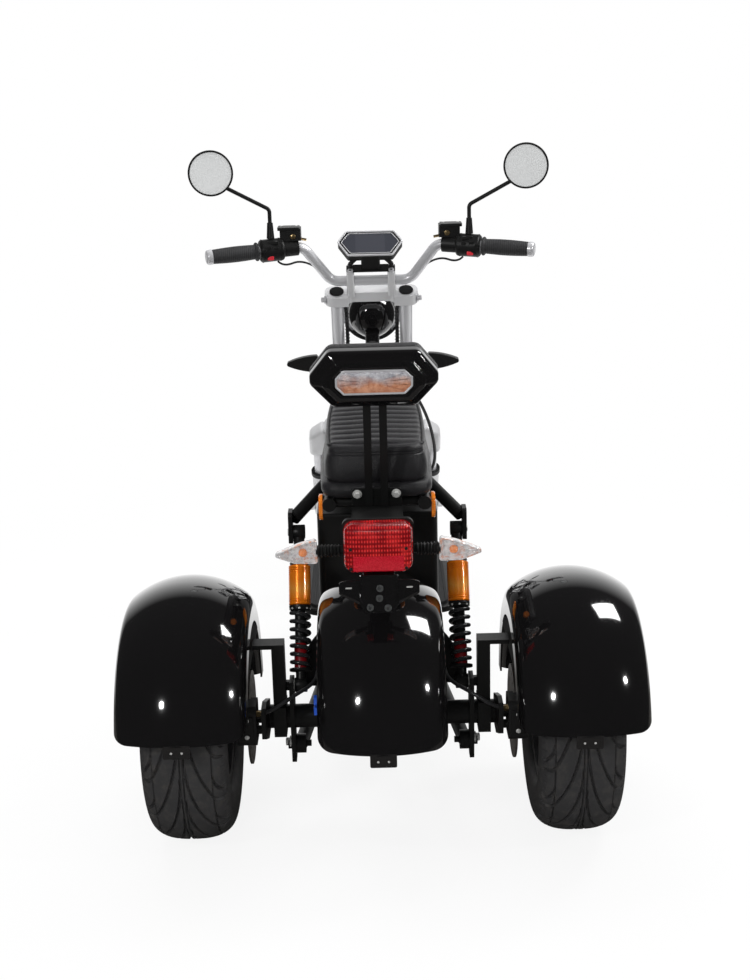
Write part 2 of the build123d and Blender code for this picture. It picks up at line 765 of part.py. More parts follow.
with BuildPart() as canisters:
    with BuildSketch(SHOCK.offset(canister_from)):
        Circle(CANISTER_R)
        Circle(DAMPER_R + FIT, mode=Mode.SUBTRACT)
    extrude(amount=CANISTER_LENGTH)
    chamfer(edges().filter_by(GeomType.CIRCLE).group_by(SortBy.RADIUS)[-1], 2)
    mirror(about=Plane.YZ)
save(canisters.part, "shock_canisters")

# Frame: head tube, backbone, two floor rails, two seat rails, shock towers and cross tubes

axis_offset = -FORK_OFFSET
head_mid = on_fork(0, axis_offset, (HEAD_FROM + HEAD_TO) / 2)
deck_front = REAR_Y + RAIL_FRONT
deck_back = REAR_Y + RAIL_BACK
seat_front = REAR_Y + SEAT_RAIL_FRONT
seat_rear = REAR_Y + SEAT_RAIL_REAR
tower_from = (TOWER_FROM[0], REAR_Y + TOWER_FROM[1], TOWER_FROM[2])
tower_to = (TOWER_TO[0], REAR_Y + TOWER_TO[1], TOWER_TO[2])
upright_top = (SEAT_RAIL_X, REAR_Y + 420, SEAT_RAIL_Z)

backbone = bent_tube(
    [head_mid, (0, deck_front + BACKBONE_KNEE[0], RAIL_Z + BACKBONE_KNEE[1]), (0, deck_front, RAIL_Z)], BACKBONE_R, 90
)
side_tubes = [
    bent_tube(
        [
            (0, deck_front, RAIL_Z),
            (RAIL_X, deck_front, RAIL_Z),
            (RAIL_X, deck_back, RAIL_Z),
            upright_top,
        ],
        RAIL_R,
        46,
    ),
    bent_tube(
        [(SEAT_RAIL_X, seat_front, SEAT_RAIL_Z), (SEAT_RAIL_X, seat_rear, SEAT_RAIL_Z)], SEAT_RAIL_R, 0
    ),
    bent_tube([tower_from, tower_to], SEAT_RAIL_R, 0),
]
cross_places = (
    (seat_rear + 20, SEAT_RAIL_Z, SEAT_RAIL_X, CROSS_R),
    (upright_top[1] + 40, SEAT_RAIL_Z, SEAT_RAIL_X, CROSS_R),
    (seat_front - 14, SEAT_RAIL_Z, SEAT_RAIL_X, CROSS_R),
    (deck_back, RAIL_Z, RAIL_X, PIVOT_R),
)
lug_x = SHOCK_X + SHOCK_EYE_W / 2 + SEAT_GAP
shock_top_y = REAR_Y + SHOCK_HIGH[0]
shock_top_z = SHOCK_HIGH[1]

with BuildPart() as frame:
    add(side_tubes)
    with BuildSketch(Plane.YZ.offset(lug_x)):
        with BuildLine():
            Polyline(
                (shock_top_y - 16, shock_top_z - 20),
                (shock_top_y + 16, shock_top_z - 20),
                (shock_top_y + 30, shock_top_z + 40),
                (shock_top_y - 12, shock_top_z + 40),
                close=True,
            )
        make_face()
        fillet(vertices(), 8)
    extrude(amount=LUG_T)
    with BuildSketch(Plane.YZ.offset(lug_x + LUG_T)):
        with Locations((shock_top_y, shock_top_z)):
            Circle(BOLT_R)
    extrude(amount=-LUG_T - SHOCK_EYE_W)
    mirror(about=Plane.YZ)
    for cross_y, cross_z, half, radius in cross_places:
        with BuildSketch(Plane.YZ):
            with Locations((cross_y, cross_z)):
                Circle(radius)
        extrude(amount=half, both=True)
    add(backbone)
    with BuildSketch(fork_level(HEAD_FROM, 0, axis_offset)):
        Circle(HEAD_R)
    extrude(amount=HEAD_TO - HEAD_FROM)
    with BuildSketch(fork_level(HEAD_FROM - 1, 0, axis_offset)):
        Circle(HEAD_BORE_R)
    extrude(amount=HEAD_TO - HEAD_FROM + 2, mode=Mode.SUBTRACT)
save(frame.part, "frame")

# Trailing arms from the hangers to the pivot tube

arm_eye_half = 9.0
arm_x = HANGER_X - HANGER_T / 2 - arm_eye_half - SEAT_GAP
arms = bent_tube(
    [(arm_x, REAR_Y, ARM_BOLT_Z), (SWING_PIVOT_X - 16, deck_back, RAIL_Z)], SWING_R, 0
)
with BuildPart() as trailing_arms:
    add(arms)
    with BuildSketch(Plane.YZ.offset(arm_x)):
        with Locations((REAR_Y, ARM_BOLT_Z)):
            Circle(18)
    extrude(amount=arm_eye_half, both=True)
    with BuildSketch(Plane.YZ.offset(SWING_PIVOT_X - 16)):
        with Locations((deck_back, RAIL_Z)):
            Circle(PIVOT_R + 8)
    extrude(amount=14, both=True)
    with BuildSketch(Plane.YZ.offset(arm_x)):
        with Locations((REAR_Y, ARM_BOLT_Z)):
            Circle(BOLT_R + FIT)
    extrude(amount=3 * arm_eye_half, both=True, mode=Mode.SUBTRACT)
    with BuildSketch(Plane.YZ):
        with Locations((deck_back, RAIL_Z)):
            Circle(PIVOT_R + FIT)
    extrude(amount=RAIL_X, mode=Mode.SUBTRACT)
    with Locations((arm_x + arm_eye_half + 20, REAR_Y, ARM_BOLT_Z)):
        Box(40, 120, 120, mode=Mode.SUBTRACT)
    mirror(about=Plane.YZ)
save(trailing_arms.part, "trailing_arms")

# Battery, floor and footboard

with BuildPart() as battery:
    with Locations(
        (0, REAR_Y + (BATTERY_FROM + BATTERY_TO) / 2, (BATTERY_LOW + BATTERY_HIGH) / 2)
    ):
        Box(2 * BATTERY_HALF, BATTERY_TO - BATTERY_FROM, BATTERY_HIGH - BATTERY_LOW)
    fillet(edges().filter_by(Axis.Z), 14)
    fillet(faces().sort_by(Axis.Z)[-1].edges(), 5)
    strap_low = BATTERY_HIGH - 6
    strap_out = SEAT_RAIL_X - SEAT_RAIL_R - STRAP_W / 2 - 4
    for strap_x in (-strap_out, strap_out):
        with Locations((strap_x, REAR_Y + BATTERY_TO - 16, (strap_low + SEAT_PAN_LOW) / 2)):
            Box(STRAP_W, 32, SEAT_PAN_LOW - strap_low)
save(battery.part, "battery_box")

board_z = RAIL_Z + RAIL_R + SEAT_GAP
with BuildPart() as footboard:
    with BuildSketch(Plane.XY.offset(board_z)):
        with Locations((0, REAR_Y + (BOARD_FROM + BOARD_TO) / 2)):
            RectangleRounded(2 * BOARD_HALF, BOARD_TO - BOARD_FROM, 40)
        with Locations((0, REAR_Y + BOARD_TO)):
            Rectangle(2 * BACKBONE_R + 12, 120, mode=Mode.SUBTRACT)
    extrude(amount=BOARD_T)
    fillet(faces().sort_by(Axis.Z)[-1].edges(), 4)
    with Locations((0, REAR_Y + (DECK_FROM + DECK_TO) / 2, (DECK_LOW + board_z + 2) / 2)):
        Box(2 * DECK_HALF, DECK_TO - DECK_FROM, board_z + 2 - DECK_LOW)
save(footboard.part, "footboard")

with BuildPart() as floor_mat:
    mat_z = board_z + BOARD_T + SEAT_GAP
    mat_to = BOARD_TO - 62 - MAT_MARGIN
    with BuildSketch(Plane.XY.offset(mat_z)):
        with Locations((0, REAR_Y + (BOARD_FROM + MAT_MARGIN + mat_to) / 2)):
            RectangleRounded(2 * (BOARD_HALF - MAT_MARGIN), mat_to - BOARD_FROM - MAT_MARGIN, 28)
    extrude(amount=MAT_T)
save(floor_mat.part, "floor_mat")

# Seat on its pan


def seat_outline(grow):
    """The seat seen from above: straight at the back, widest amidships, narrow at the nose."""
    with BuildLine(mode=Mode.PRIVATE) as line:
        half = SEAT_HALF + grow
        rear = REAR_Y + SEAT_REAR - grow
        front = REAR_Y + SEAT_FRONT + grow
        waist = (rear + front) / 2
        ThreePointArc((half, rear), (SEAT_MID_HALF + grow, waist), (SEAT_NOSE_HALF + grow, front))
        Line((SEAT_NOSE_HALF + grow, front), (-SEAT_NOSE_HALF - grow, front))
        ThreePointArc((-SEAT_NOSE_HALF - grow, front), (-SEAT_MID_HALF - grow, waist), (-half, rear))
        Line((-half, rear), (half, rear))
    return line.line


pan_line = seat_outline(0)
with BuildPart() as seat_pan:
    with BuildSketch(Plane.XY.offset(SEAT_PAN_LOW + SEAT_GAP)):
        add(pan_line)
        make_face()
        fillet(vertices(), 20)
    extrude(amount=SEAT_PAN_T)
    fillet(edges().group_by(Axis.Z)[0], 6)
save(seat_pan.part, "seat_pan")

with BuildPart() as seat:
    with BuildSketch(Plane.XY.offset(SEAT_PAN_LOW + SEAT_PAN_T + 2 * SEAT_GAP)):
        add(pan_line)
        make_face()
        fillet(vertices(), 22)
    extrude(amount=SEAT_TOP - SEAT_PAN_LOW - SEAT_PAN_T - 2 * SEAT_GAP, taper=8)
    fillet(faces().sort_by(Axis.Z)[-1].edges(), SEAT_EDGE)
save(seat.part, "seat_cushion")

# Backrest and its bars

lean = radians(BAR_LEAN)
BACK = Plane(
    origin=(0, REAR_Y + BAR_FOOT_Y, BAR_FOOT_Z),
    x_dir=(1, 0, 0),
    z_dir=(0, -cos(lean), -sin(lean)),
)

with BuildPart() as back_bars:
    with BuildSketch(BACK):
        with Locations((BAR_X, BAR_LENGTH / 2), (-BAR_X, BAR_LENGTH / 2)):
            Rectangle(BAR_W, BAR_LENGTH)
    extrude(amount=BAR_T)
    with BuildSketch(BACK):
        with Locations((0, FOOT_HEIGHT / 2)):
            RectangleRounded(2 * FOOT_HALF, FOOT_HEIGHT, 6)
    extrude(amount=FOOT_T)
save(back_bars.part, "backrest_bars")

with BuildSketch() as back_outline:
    with BuildLine():
        up = BACKREST_HEIGHT / 2
        Polyline(
            (-BACKREST_TOP_HALF, up),
            (BACKREST_TOP_HALF, up),
            (BACKREST_HALF, 0),
            (BACKREST_LOW_HALF, -up),
            (-BACKREST_LOW_HALF, -up),
            (-BACKREST_HALF, 0),
            close=True,
        )
    make_face()
    fillet(vertices(), 15)

with BuildSketch() as lens_outline:
    with BuildLine():
        Polyline(
            (-LENS_HALF + LENS_CUT, LENS_HEIGHT / 2),
            (LENS_HALF - LENS_CUT, LENS_HEIGHT / 2),
            (LENS_HALF, 0),
            (LENS_HALF - LENS_CUT, -LENS_HEIGHT / 2),
            (-LENS_HALF + LENS_CUT, -LENS_HEIGHT / 2),
            (-LENS_HALF, 0),
            close=True,
        )
    make_face()
    fillet(vertices(), 5)

shell_place = Plane(origin=BACK.from_local_coords((0, BACKREST_UP, 0)), x_dir=(1, 0, 0), z_dir=BACK.z_dir)
with BuildPart() as backrest_shell:
    with BuildSketch(shell_place):
        add(back_outline.sketch)
    extrude(amount=BACKREST_T)
    fillet(faces().sort_by(Axis.Y)[0].edges(), BACKREST_ROUND)
    with BuildSketch(shell_place.offset(BACKREST_T - LENS_T)):
        add(offset(lens_outline.sketch, amount=1.0, mode=Mode.PRIVATE))
    extrude(amount=2 * LENS_T, mode=Mode.SUBTRACT)
    with BuildSketch(BACK):
        with Locations((BAR_X, BAR_LENGTH / 2), (-BAR_X, BAR_LENGTH / 2)):
            Rectangle(BAR_W + 2 * SEAT_GAP, BAR_LENGTH + 2 * SEAT_GAP)
    extrude(amount=BAR_T + SEAT_GAP, mode=Mode.SUBTRACT)
save(backrest_shell.part, "backrest_shell")

with BuildPart() as backrest_lens:
    with BuildSketch(shell_place.offset(BACKREST_T - LENS_T + SEAT_GAP)):
        add(lens_outline.sketch)
    extrude(amount=LENS_T + 1)
    fillet(faces().sort_by(Axis.Y)[0].edges(), 2)
save(backrest_lens.part, "backrest_lens")

with BuildPart() as backrest_pad:
    with BuildSketch(shell_place.offset(-SEAT_GAP)):
        add(back_outline.sketch)
    extrude(amount=-PAD_T)
    fillet(faces().sort_by(Axis.Y)[-1].edges(), 14)
save(backrest_pad.part, "backrest_pad")

# Tail plate, lamp, number plate bracket and indicators

tail_rear = REAR_Y + TAIL_REAR
indicator_y = REAR_Y + INDICATOR_Y
lens_root = INDICATOR_ROOT + 6 - 0.18 * INDICATOR_H
tail_front = seat_rear + 48
tail_low = SEAT_RAIL_Z - CROSS_R - SEAT_GAP - TAIL_T
with BuildPart() as tail_plate:
    cover_from = REAR_Y + BAR_FOOT_Y - BAR_T - 8
    cover_low = TAIL_TOP - TAIL_T - 8
    with BuildSketch(Plane.YZ):
        with BuildLine():
            Polyline(
                (tail_front, tail_low),
                (tail_front, tail_low + TAIL_T),
                (tail_rear + TAIL_T, tail_low + TAIL_T),
                (tail_rear + TAIL_T, cover_low),
                (cover_from, cover_low),
                (cover_from, cover_low + TAIL_T),
                (tail_rear, cover_low + TAIL_T),
                (tail_rear, TAIL_DROP),
                (tail_rear + TAIL_T, TAIL_DROP),
                (tail_rear + TAIL_T, tail_low),
                close=True,
            )
        make_face()
    extrude(amount=TAIL_HALF, both=True)
    with BuildSketch(Plane.YZ.offset(TAIL_HALF - 2)):
        with Locations((indicator_y + 2, INDICATOR_Z)):
            Circle(STALK_R)
    extrude(amount=lens_root - TAIL_HALF + 2 - SEAT_GAP)
    with BuildSketch(Plane.YZ.offset(TAIL_HALF - 4)):
        with Locations((indicator_y + 6, INDICATOR_Z)):
            RectangleRounded(38, 30, 6)
    extrude(amount=6)
    mirror(about=Plane.YZ)
save(tail_plate.part, "tail_plate")

lamp_mid = (LAMP_LOW + LAMP_HIGH) / 2
with BuildPart() as lamp_base:
    with BuildSketch(Plane.XZ.offset(-tail_rear + SEAT_GAP)):
        with Locations((0, lamp_mid)):
            RectangleRounded(2 * LAMP_HALF, LAMP_HIGH - LAMP_LOW, LAMP_CORNER)
    extrude(amount=LAMP_BASE_T)
save(lamp_base.part, "tail_lamp_base")

with BuildPart() as tail_lamp:
    with BuildSketch(Plane.XZ.offset(-tail_rear + LAMP_BASE_T + 2 * SEAT_GAP)):
        with Locations((0, lamp_mid)):
            RectangleRounded(2 * LAMP_HALF - 4, LAMP_HIGH - LAMP_LOW - 4, LAMP_CORNER - 2)
    extrude(amount=LAMP_LENS_T)
    fillet(faces().sort_by(Axis.Y)[0].edges(), 8)
save(tail_lamp.part, "tail_lamp_lens")

bracket_y = REAR_Y + BRACKET_Y
with BuildPart() as plate_bracket:
    with BuildSketch(Plane.XZ.offset(-bracket_y)):
        bracket_high = LAMP_LOW - SEAT_GAP
        with Locations((0, (BRACKET_LOW + bracket_high) / 2)):
            RectangleRounded(2 * BRACKET_HALF, bracket_high - BRACKET_LOW, 6)
        with Locations((0, (WING_LOW + WING_HIGH) / 2)):
            RectangleRounded(2 * WING_HALF, WING_HIGH - WING_LOW, 8)
        with Locations((WING_HOLE_X, lamp_mid - 74), (-WING_HOLE_X, lamp_mid - 74)):
            Circle(WING_HOLE_R, mode=Mode.SUBTRACT)
    extrude(amount=BRACKET_T)
    strap_from = tail_rear + TAIL_T + 20
    with Locations((0, (strap_from + bracket_y) / 2, LAMP_LOW - SEAT_GAP - BRACKET_T / 2)):
        Box(2 * BRACKET_HALF - 12, strap_from - bracket_y, BRACKET_T)
save(plate_bracket.part, "plate_bracket")


def teardrop(plane, root, tip, height):
    """An indicator's outline: round at the root and running out to a tip."""
    with BuildSketch(plane) as outline:
        with BuildLine():
            bow = height / 2
            ThreePointArc((root, -bow), (root - 0.18 * height, 0), (root, bow))
            ThreePointArc((root, bow), ((root + tip) / 2, 0.40 * height), (tip, 0.12 * height))
            ThreePointArc((tip, 0.12 * height), (tip + 0.06 * height, 0), (tip, -0.12 * height))
            ThreePointArc((tip, -0.12 * height), ((root + tip) / 2, -0.40 * height), (root, -bow))
        make_face()
    return outline.sketch


rear_teardrop = teardrop(
    Plane(origin=(0, indicator_y, INDICATOR_Z), x_dir=(1, 0, 0), z_dir=(0, -1, 0)),
    INDICATOR_ROOT + 6,
    INDICATOR_TIP - 2,
    INDICATOR_H,
)
with BuildPart() as indicator_lenses:
    extrude(rear_teardrop, amount=INDICATOR_LENS_T / 2, both=True)
    chamfer(faces().sort_by(Axis.Y)[0].edges(), 1.5)
    chamfer(faces().sort_by(Axis.Y)[-1].edges(), 1.5)
    mirror(about=Plane.YZ)
save(indicator_lenses.part, "indicator_lenses_rear")

with BuildPart() as reflectors:
    with BuildSketch(Plane.YZ.offset(SEAT_RAIL_X + SEAT_RAIL_R + SEAT_GAP)):
        with Locations((seat_rear + 36, SEAT_RAIL_Z - 14)):
            Circle(REFLECTOR_R)
    extrude(amount=REFLECTOR_T)
    chamfer(faces().sort_by(Axis.X)[-1].edges(), 2)
    mirror(about=Plane.YZ)
save(reflectors.part, "side_reflectors")

# Fork: bridge over the wheel, middle yoke, top crown, tubes and legs

with BuildPart() as fork_bridge:
    across = Plane(origin=on_fork(0, BRIDGE_DEPTH / 2, 0), x_dir=(1, 0, 0), z_dir=-FORK.y_dir)
    with BuildSketch(across):
        with BuildLine():
            Polyline(
                (-BRIDGE_HALF, BRIDGE_LOW),
                (-BRIDGE_HALF, BRIDGE_SHOULDER),
                (-BRIDGE_TOP_HALF, BRIDGE_HIGH),
                (BRIDGE_TOP_HALF, BRIDGE_HIGH),
                (BRIDGE_HALF, BRIDGE_SHOULDER),
                (BRIDGE_HALF, BRIDGE_LOW),
                (BRIDGE_INNER, BRIDGE_LOW),
                (BRIDGE_INNER, BRIDGE_UNDER),
                (-BRIDGE_INNER, BRIDGE_UNDER),
                (-BRIDGE_INNER, BRIDGE_LOW),
                close=True,
            )
        make_face()
        fillet(vertices().group_by(Axis.Y)[1:], 12)
    extrude(amount=BRIDGE_DEPTH)
    with BuildSketch(fork_level(BRIDGE_UNDER + 2, 0, axis_offset)):
        Circle(STEM_R + 14)
    extrude(amount=BRIDGE_HIGH - BRIDGE_UNDER - 2)
    with BuildSketch(fork_level(BRIDGE_LOW)):
        with Locations((LOWER_X, 0), (-LOWER_X, 0)):
            Circle(LOWER_R + FIT)
    extrude(amount=BRIDGE_SHOULDER - BRIDGE_LOW - 10, mode=Mode.SUBTRACT)
    with BuildSketch(fork_level(BRIDGE_HIGH + 1)):
        with Locations((UPPER_X, 0), (-UPPER_X, 0)):
            Circle(UPPER_R + FIT)
    extrude(amount=-24, mode=Mode.SUBTRACT)


def clamp_plate(low, high, rear, corner):
    """A fork clamp with its bores for the two upper tubes."""
    with BuildPart() as clamp:
        with BuildSketch(fork_level(low)):
            with Locations((0, (CLAMP_FRONT + rear) / 2)):
                RectangleRounded(2 * CROWN_HALF, CLAMP_FRONT - rear, corner)
            with Locations((UPPER_X, 0), (-UPPER_X, 0)):
                Circle(UPPER_R + FIT, mode=Mode.SUBTRACT)
        extrude(amount=high - low)
    return clamp.part


yoke_plate = clamp_plate(YOKE_FROM, YOKE_TO, CLAMP_REAR, 20)
with BuildPart() as fork_yokes:
    add(fork_bridge.part)
    add(yoke_plate)
    with BuildSketch(fork_level(BRIDGE_UNDER + 4, 0, axis_offset)):
        Circle(STEM_R)
    extrude(amount=YOKE_TO + 6 - BRIDGE_UNDER - 4)
save(fork_yokes.part, "fork_yokes")

crown_plate = clamp_plate(CROWN_FROM, CROWN_TO, CROWN_REAR, 20)
with BuildPart() as fork_crown:
    add(crown_plate)
    with BuildSketch(fork_level(CROWN_FROM)):
        with Locations((0, CROWN_WEB_REAR + CROWN_REAR)):
            RectangleRounded(2 * CROWN_GAP_HALF, -2 * CROWN_REAR, 12)
    extrude(amount=CROWN_T, mode=Mode.SUBTRACT)
    with BuildSketch(fork_level(CROWN_TO - 4)):
        with Locations((RISER_X, 0), (-RISER_X, 0)):
            RectangleRounded(RISER_W, RISER_D, 5)
    extrude(amount=RISER_TO - CROWN_TO + 4)
    with BuildSketch(Plane(origin=bar_level, x_dir=(0, 1, 0), z_dir=(1, 0, 0))):
        Circle(BAR_R + FIT)
    extrude(amount=2 * RISER_X, both=True, mode=Mode.SUBTRACT)
save(fork_crown.part, "fork_crown")

with BuildPart() as fork_tubes:
    with BuildSketch(fork_level(BRIDGE_HIGH - 22)):
        with Locations((UPPER_X, 0), (-UPPER_X, 0)):
            Circle(UPPER_R)
    extrude(amount=CROWN_TO - BRIDGE_HIGH + 22)
    with BuildSketch(fork_level(SLIDER_TO - 10)):
        with Locations((LOWER_X, 0), (-LOWER_X, 0)):
            Circle(LOWER_R)
    extrude(amount=BRIDGE_SHOULDER - 12 - SLIDER_TO + 10)
save(fork_tubes.part, "fork_tubes")

with BuildPart() as fork_caps:
    with BuildSketch(fork_level(CROWN_TO + SEAT_GAP)):
        with Locations((UPPER_X, 0), (-UPPER_X, 0)):
            Circle(UPPER_R + 2)
    extrude(amount=CAP_T)
    fillet(edges().group_by(Axis(FORK.origin, FORK.z_dir))[-1], 2)
    with BuildSketch(fork_level(SLIDER_TO + SEAT_GAP)):
        with Locations((LOWER_X, 0), (-LOWER_X, 0)):
            Circle(SEAL_R)
            Circle(LOWER_R + FIT, mode=Mode.SUBTRACT)
    extrude(amount=SEAL_H)
save(fork_caps.part, "fork_caps_and_seals")

with BuildPart() as fork_sliders:
    with BuildSketch(fork_level(SLIDER_FROM)):
        with Locations((LOWER_X, 0), (-LOWER_X, 0)):
            Circle(SLIDER_R)
    extrude(amount=SLIDER_TO - SLIDER_FROM)
    with BuildSketch(fork_level(SLIDER_TO)):
        with Locations((LOWER_X, 0), (-LOWER_X, 0)):
            Circle(LOWER_R + FIT)
    extrude(amount=-12, mode=Mode.SUBTRACT)
    with BuildSketch(Plane.YZ):
        with Locations((FRONT_Y, AXLE_Z)):
            Circle(FRONT_AXLE_R)
    extrude(amount=FRONT_AXLE_HALF, both=True)
    for side in SIDES:
        with BuildSketch(Plane.YZ.offset(side * (LOWER_X + SLIDER_R - 1))):
            with Locations((FRONT_Y, AXLE_Z)):
                RegularPolygon(15, 6)
        extrude(amount=side * 12)
    spacer_to = LOWER_X - SLIDER_R + 4
    left_from = SPOKE_T + SPACER_GAP
    right_from = FRONT_DISC_X + DISC_T / 2 + SPACER_GAP
    for side, spacer_from in ((-1, left_from), (1, right_from)):
        with BuildSketch(Plane.YZ.offset(side * spacer_from)):
            with Locations((FRONT_Y, AXLE_Z)):
                Circle(14)
        extrude(amount=side * (spacer_to - spacer_from))
save(fork_sliders.part, "fork_sliders")

with BuildPart() as front_caliper:
    caliper_at = Plane(origin=on_fork(FRONT_DISC_X, -66, 34), x_dir=(1, 0, 0), z_dir=FORK.z_dir)
    with BuildSketch(caliper_at):
        RectangleRounded(30, 52, 6)
    extrude(amount=62)
    with BuildSketch(Plane.YZ.offset(FRONT_DISC_X - CALIPER_SLOT / 2)):
        with Locations((FRONT_Y, AXLE_Z)):
            Circle(DISC_R + 5)
    extrude(amount=CALIPER_SLOT, mode=Mode.SUBTRACT)
    lug_from = FRONT_DISC_X + 12
    with BuildSketch(Plane(origin=on_fork(lug_from, -40, 54), x_dir=FORK.y_dir, z_dir=(1, 0, 0))):
        RectangleRounded(60, 18, 5)
    extrude(amount=LOWER_X - lug_from)
    with BuildSketch(fork_level(SLIDER_FROM)):
        with Locations((LOWER_X, 0)):
            Circle(SLIDER_R + SEAT_GAP)
    extrude(amount=2 * SLIDER_TO, mode=Mode.SUBTRACT)
save(front_caliper.part, "front_caliper")

# Handlebar, risers, grips and controls

bend_y = FRONT_Y - BAR_BEND_BACK
end_y = FRONT_Y - BAR_END_BACK
bend_z = bar_level.Z + BAR_BEND_UP
end_z = bar_level.Z + BAR_END_UP
bar_points = [
    (-BAR_END_X, end_y, end_z),
    (-BAR_BEND_X, bend_y, bend_z),
    (-BAR_RISE_FROM, bar_level.Y, bar_level.Z),
    (BAR_RISE_FROM, bar_level.Y, bar_level.Z),
    (BAR_BEND_X, bend_y, bend_z),
    (BAR_END_X, end_y, end_z),
]
bar_tube = bent_tube(bar_points, BAR_R, BAR_BEND_R)
bar_clear = bent_tube(bar_points, BAR_R + FIT, BAR_BEND_R)

bar_run = Vector(BAR_END_X - BAR_BEND_X, end_y - bend_y, end_z - bend_z)


def along_bar(x):
    """A plane square to the right outer run of the bar, where it is x from the middle."""
    share = (x - BAR_BEND_X) / (BAR_END_X - BAR_BEND_X)
    place = Vector(BAR_BEND_X, bend_y, bend_z) + bar_run * share
    return Plane(origin=place, x_dir=(0, 1, 0), z_dir=bar_run)


def bar_length(from_x, to_x):
    """How far it is along the bar between two places across."""
    return (to_x - from_x) / (BAR_END_X - BAR_BEND_X) * bar_run.length


def sleeve(from_x, to_x, radius, bore_r=0.0):
    """A plain sleeve around the right outer run of the bar, solid where it has no bore of its own."""
    with BuildPart() as ring:
        with BuildSketch(along_bar(from_x)):
            Circle(radius)
            if bore_r:
                Circle(bore_r, mode=Mode.SUBTRACT)
        extrude(amount=bar_length(from_x, to_x))
    return ring.part


grip_right = sleeve(GRIP_FROM, BAR_END_X, GRIP_R, BAR_R + FIT)
with BuildPart() as grips:
    add(grip_right)
    fillet(edges().filter_by(GeomType.CIRCLE).group_by(SortBy.RADIUS)[-1], 3)
    mirror(about=Plane.YZ)
save(grips.part, "grips")

with BuildPart() as handlebar:
    add(bar_tube)
    with BuildSketch(along_bar(BAR_END_X).offset(SEAT_GAP)):
        Circle(GRIP_R - 1)
    extrude(amount=BAR_CAP_T)
    with BuildSketch(along_bar(BAR_END_X).offset(-2)):
        Circle(BAR_R)
    extrude(amount=4)
    fillet(faces().sort_by(Axis.X)[-1].edges(), 7)
    mirror(about=Plane.YZ)
save(handlebar.part, "handlebar")

perch_mid = along_bar((PERCH_FROM + PERCH_TO) / 2).origin
reservoir_at = perch_mid + Vector(2, 10, PERCH_R + RESERVOIR[2] / 2 - 2)
lever_root = perch_mid + Vector(20, 44, -2)
lever_tip = along_bar(GRIP_FROM + 78).origin + Vector(0, LEVER_AHEAD, 0)
lever_right = bent_tube([lever_root, lever_root + Vector(26, 30, 0), lever_tip], LEVER_R, 16)
switch_right = sleeve(SWITCH_FROM, SWITCH_TO, SWITCH_R)
perch_right = sleeve(PERCH_FROM, SWITCH_FROM + 2, PERCH_R)
with BuildPart() as hand_controls:
    add(switch_right)
    fillet(edges().filter_by(GeomType.CIRCLE).group_by(SortBy.RADIUS)[-1], 7)
    add(perch_right)
    with Locations(reservoir_at):
        Box(*RESERVOIR)
    with Locations(perch_mid + Vector(6, 34, -2)):
        Box(40, 40, 22)
    add(lever_right)
    add(bar_clear, mode=Mode.SUBTRACT)
    mirror(about=Plane.YZ)
save(hand_controls.part, "hand_controls")

# Mirrors

stem_base = along_bar(STEM_BASE_X).origin
mirror_centre = Vector(MIRROR_X, FRONT_Y - MIRROR_BACK, bar_level.Z + MIRROR_UP)
turn = radians(MIRROR_TURN)
mirror_back = Vector(sin(turn), cos(turn), 0)
MIRROR_FACE = Plane(origin=mirror_centre, x_dir=(cos(turn), -sin(turn), 0), z_dir=-mirror_back)
stem_end = MIRROR_FACE.from_local_coords((-0.55 * MIRROR_R, -0.62 * MIRROR_R, -MIRROR_T / 2 - 2))
stem_low = Vector(STEM_BASE_X, stem_base.Y, stem_base.Z + SWITCH_R + 0.9)
mirror_stem = bent_tube(
    [stem_low, (STEM_BASE_X, stem_base.Y, bar_level.Z + STEM_BEND_UP), stem_end], MIRROR_STEM_R, 12
)

with BuildPart() as mirror_heads:
    with BuildSketch(MIRROR_FACE.offset(-MIRROR_T / 2)):
        Circle(MIRROR_R)
    extrude(amount=MIRROR_T)
    fillet(edges().sort_by(Axis.Y)[-1], 9)
    with BuildSketch(MIRROR_FACE.offset(MIRROR_T / 2 - GLASS_T - SEAT_GAP)):
        Circle(MIRROR_R - GLASS_RIM)
    extrude(amount=2 * GLASS_T, mode=Mode.SUBTRACT)
    add(mirror_stem)
    with BuildSketch(Plane.XY.offset(stem_low.Z)):
        with Locations((STEM_BASE_X, stem_base.Y)):
            Circle(BOOT_R)
    extrude(amount=bar_level.Z + BOOT_UP - stem_low.Z, taper=4)
    with BuildSketch(MIRROR_FACE.offset(MIRROR_T / 2 - GLASS_T - SEAT_GAP)):
        Circle(MIRROR_R - GLASS_RIM)
    extrude(amount=2 * GLASS_T, mode=Mode.SUBTRACT)
    mirror(about=Plane.YZ)
save(mirror_heads.part, "mirrors")

with BuildPart() as mirror_glass:
    with BuildSketch(MIRROR_FACE.offset(MIRROR_T / 2 - GLASS_T)):
        Circle(MIRROR_R - GLASS_RIM - SEAT_GAP)
    extrude(amount=GLASS_T - 1)
    mirror(about=Plane.YZ)
save(mirror_glass.part, "mirror_glass")

# Display

tilt = radians(DISPLAY_TILT)
DISPLAY = Plane(
    origin=(0, FRONT_Y - DISPLAY_BACK, bar_level.Z + DISPLAY_UP),
    x_dir=(1, 0, 0),
    z_dir=(0, -cos(tilt), sin(tilt)),
)
with BuildSketch() as display_outline:
    with BuildLine():
        high = DISPLAY_HEIGHT / 2
        Polyline(
            (-DISPLAY_HALF + DISPLAY_CUT, high),
            (DISPLAY_HALF - DISPLAY_CUT, high),
            (DISPLAY_HALF, 4),
            (DISPLAY_HALF - DISPLAY_CUT - 4, -high),
            (-DISPLAY_HALF + DISPLAY_CUT + 4, -high),
            (-DISPLAY_HALF, 4),
            close=True,
        )
    make_face()
    fillet(vertices(), 6)
with BuildSketch() as screen_outline:
    add(offset(display_outline.sketch, amount=-SCREEN_RIM, mode=Mode.PRIVATE))

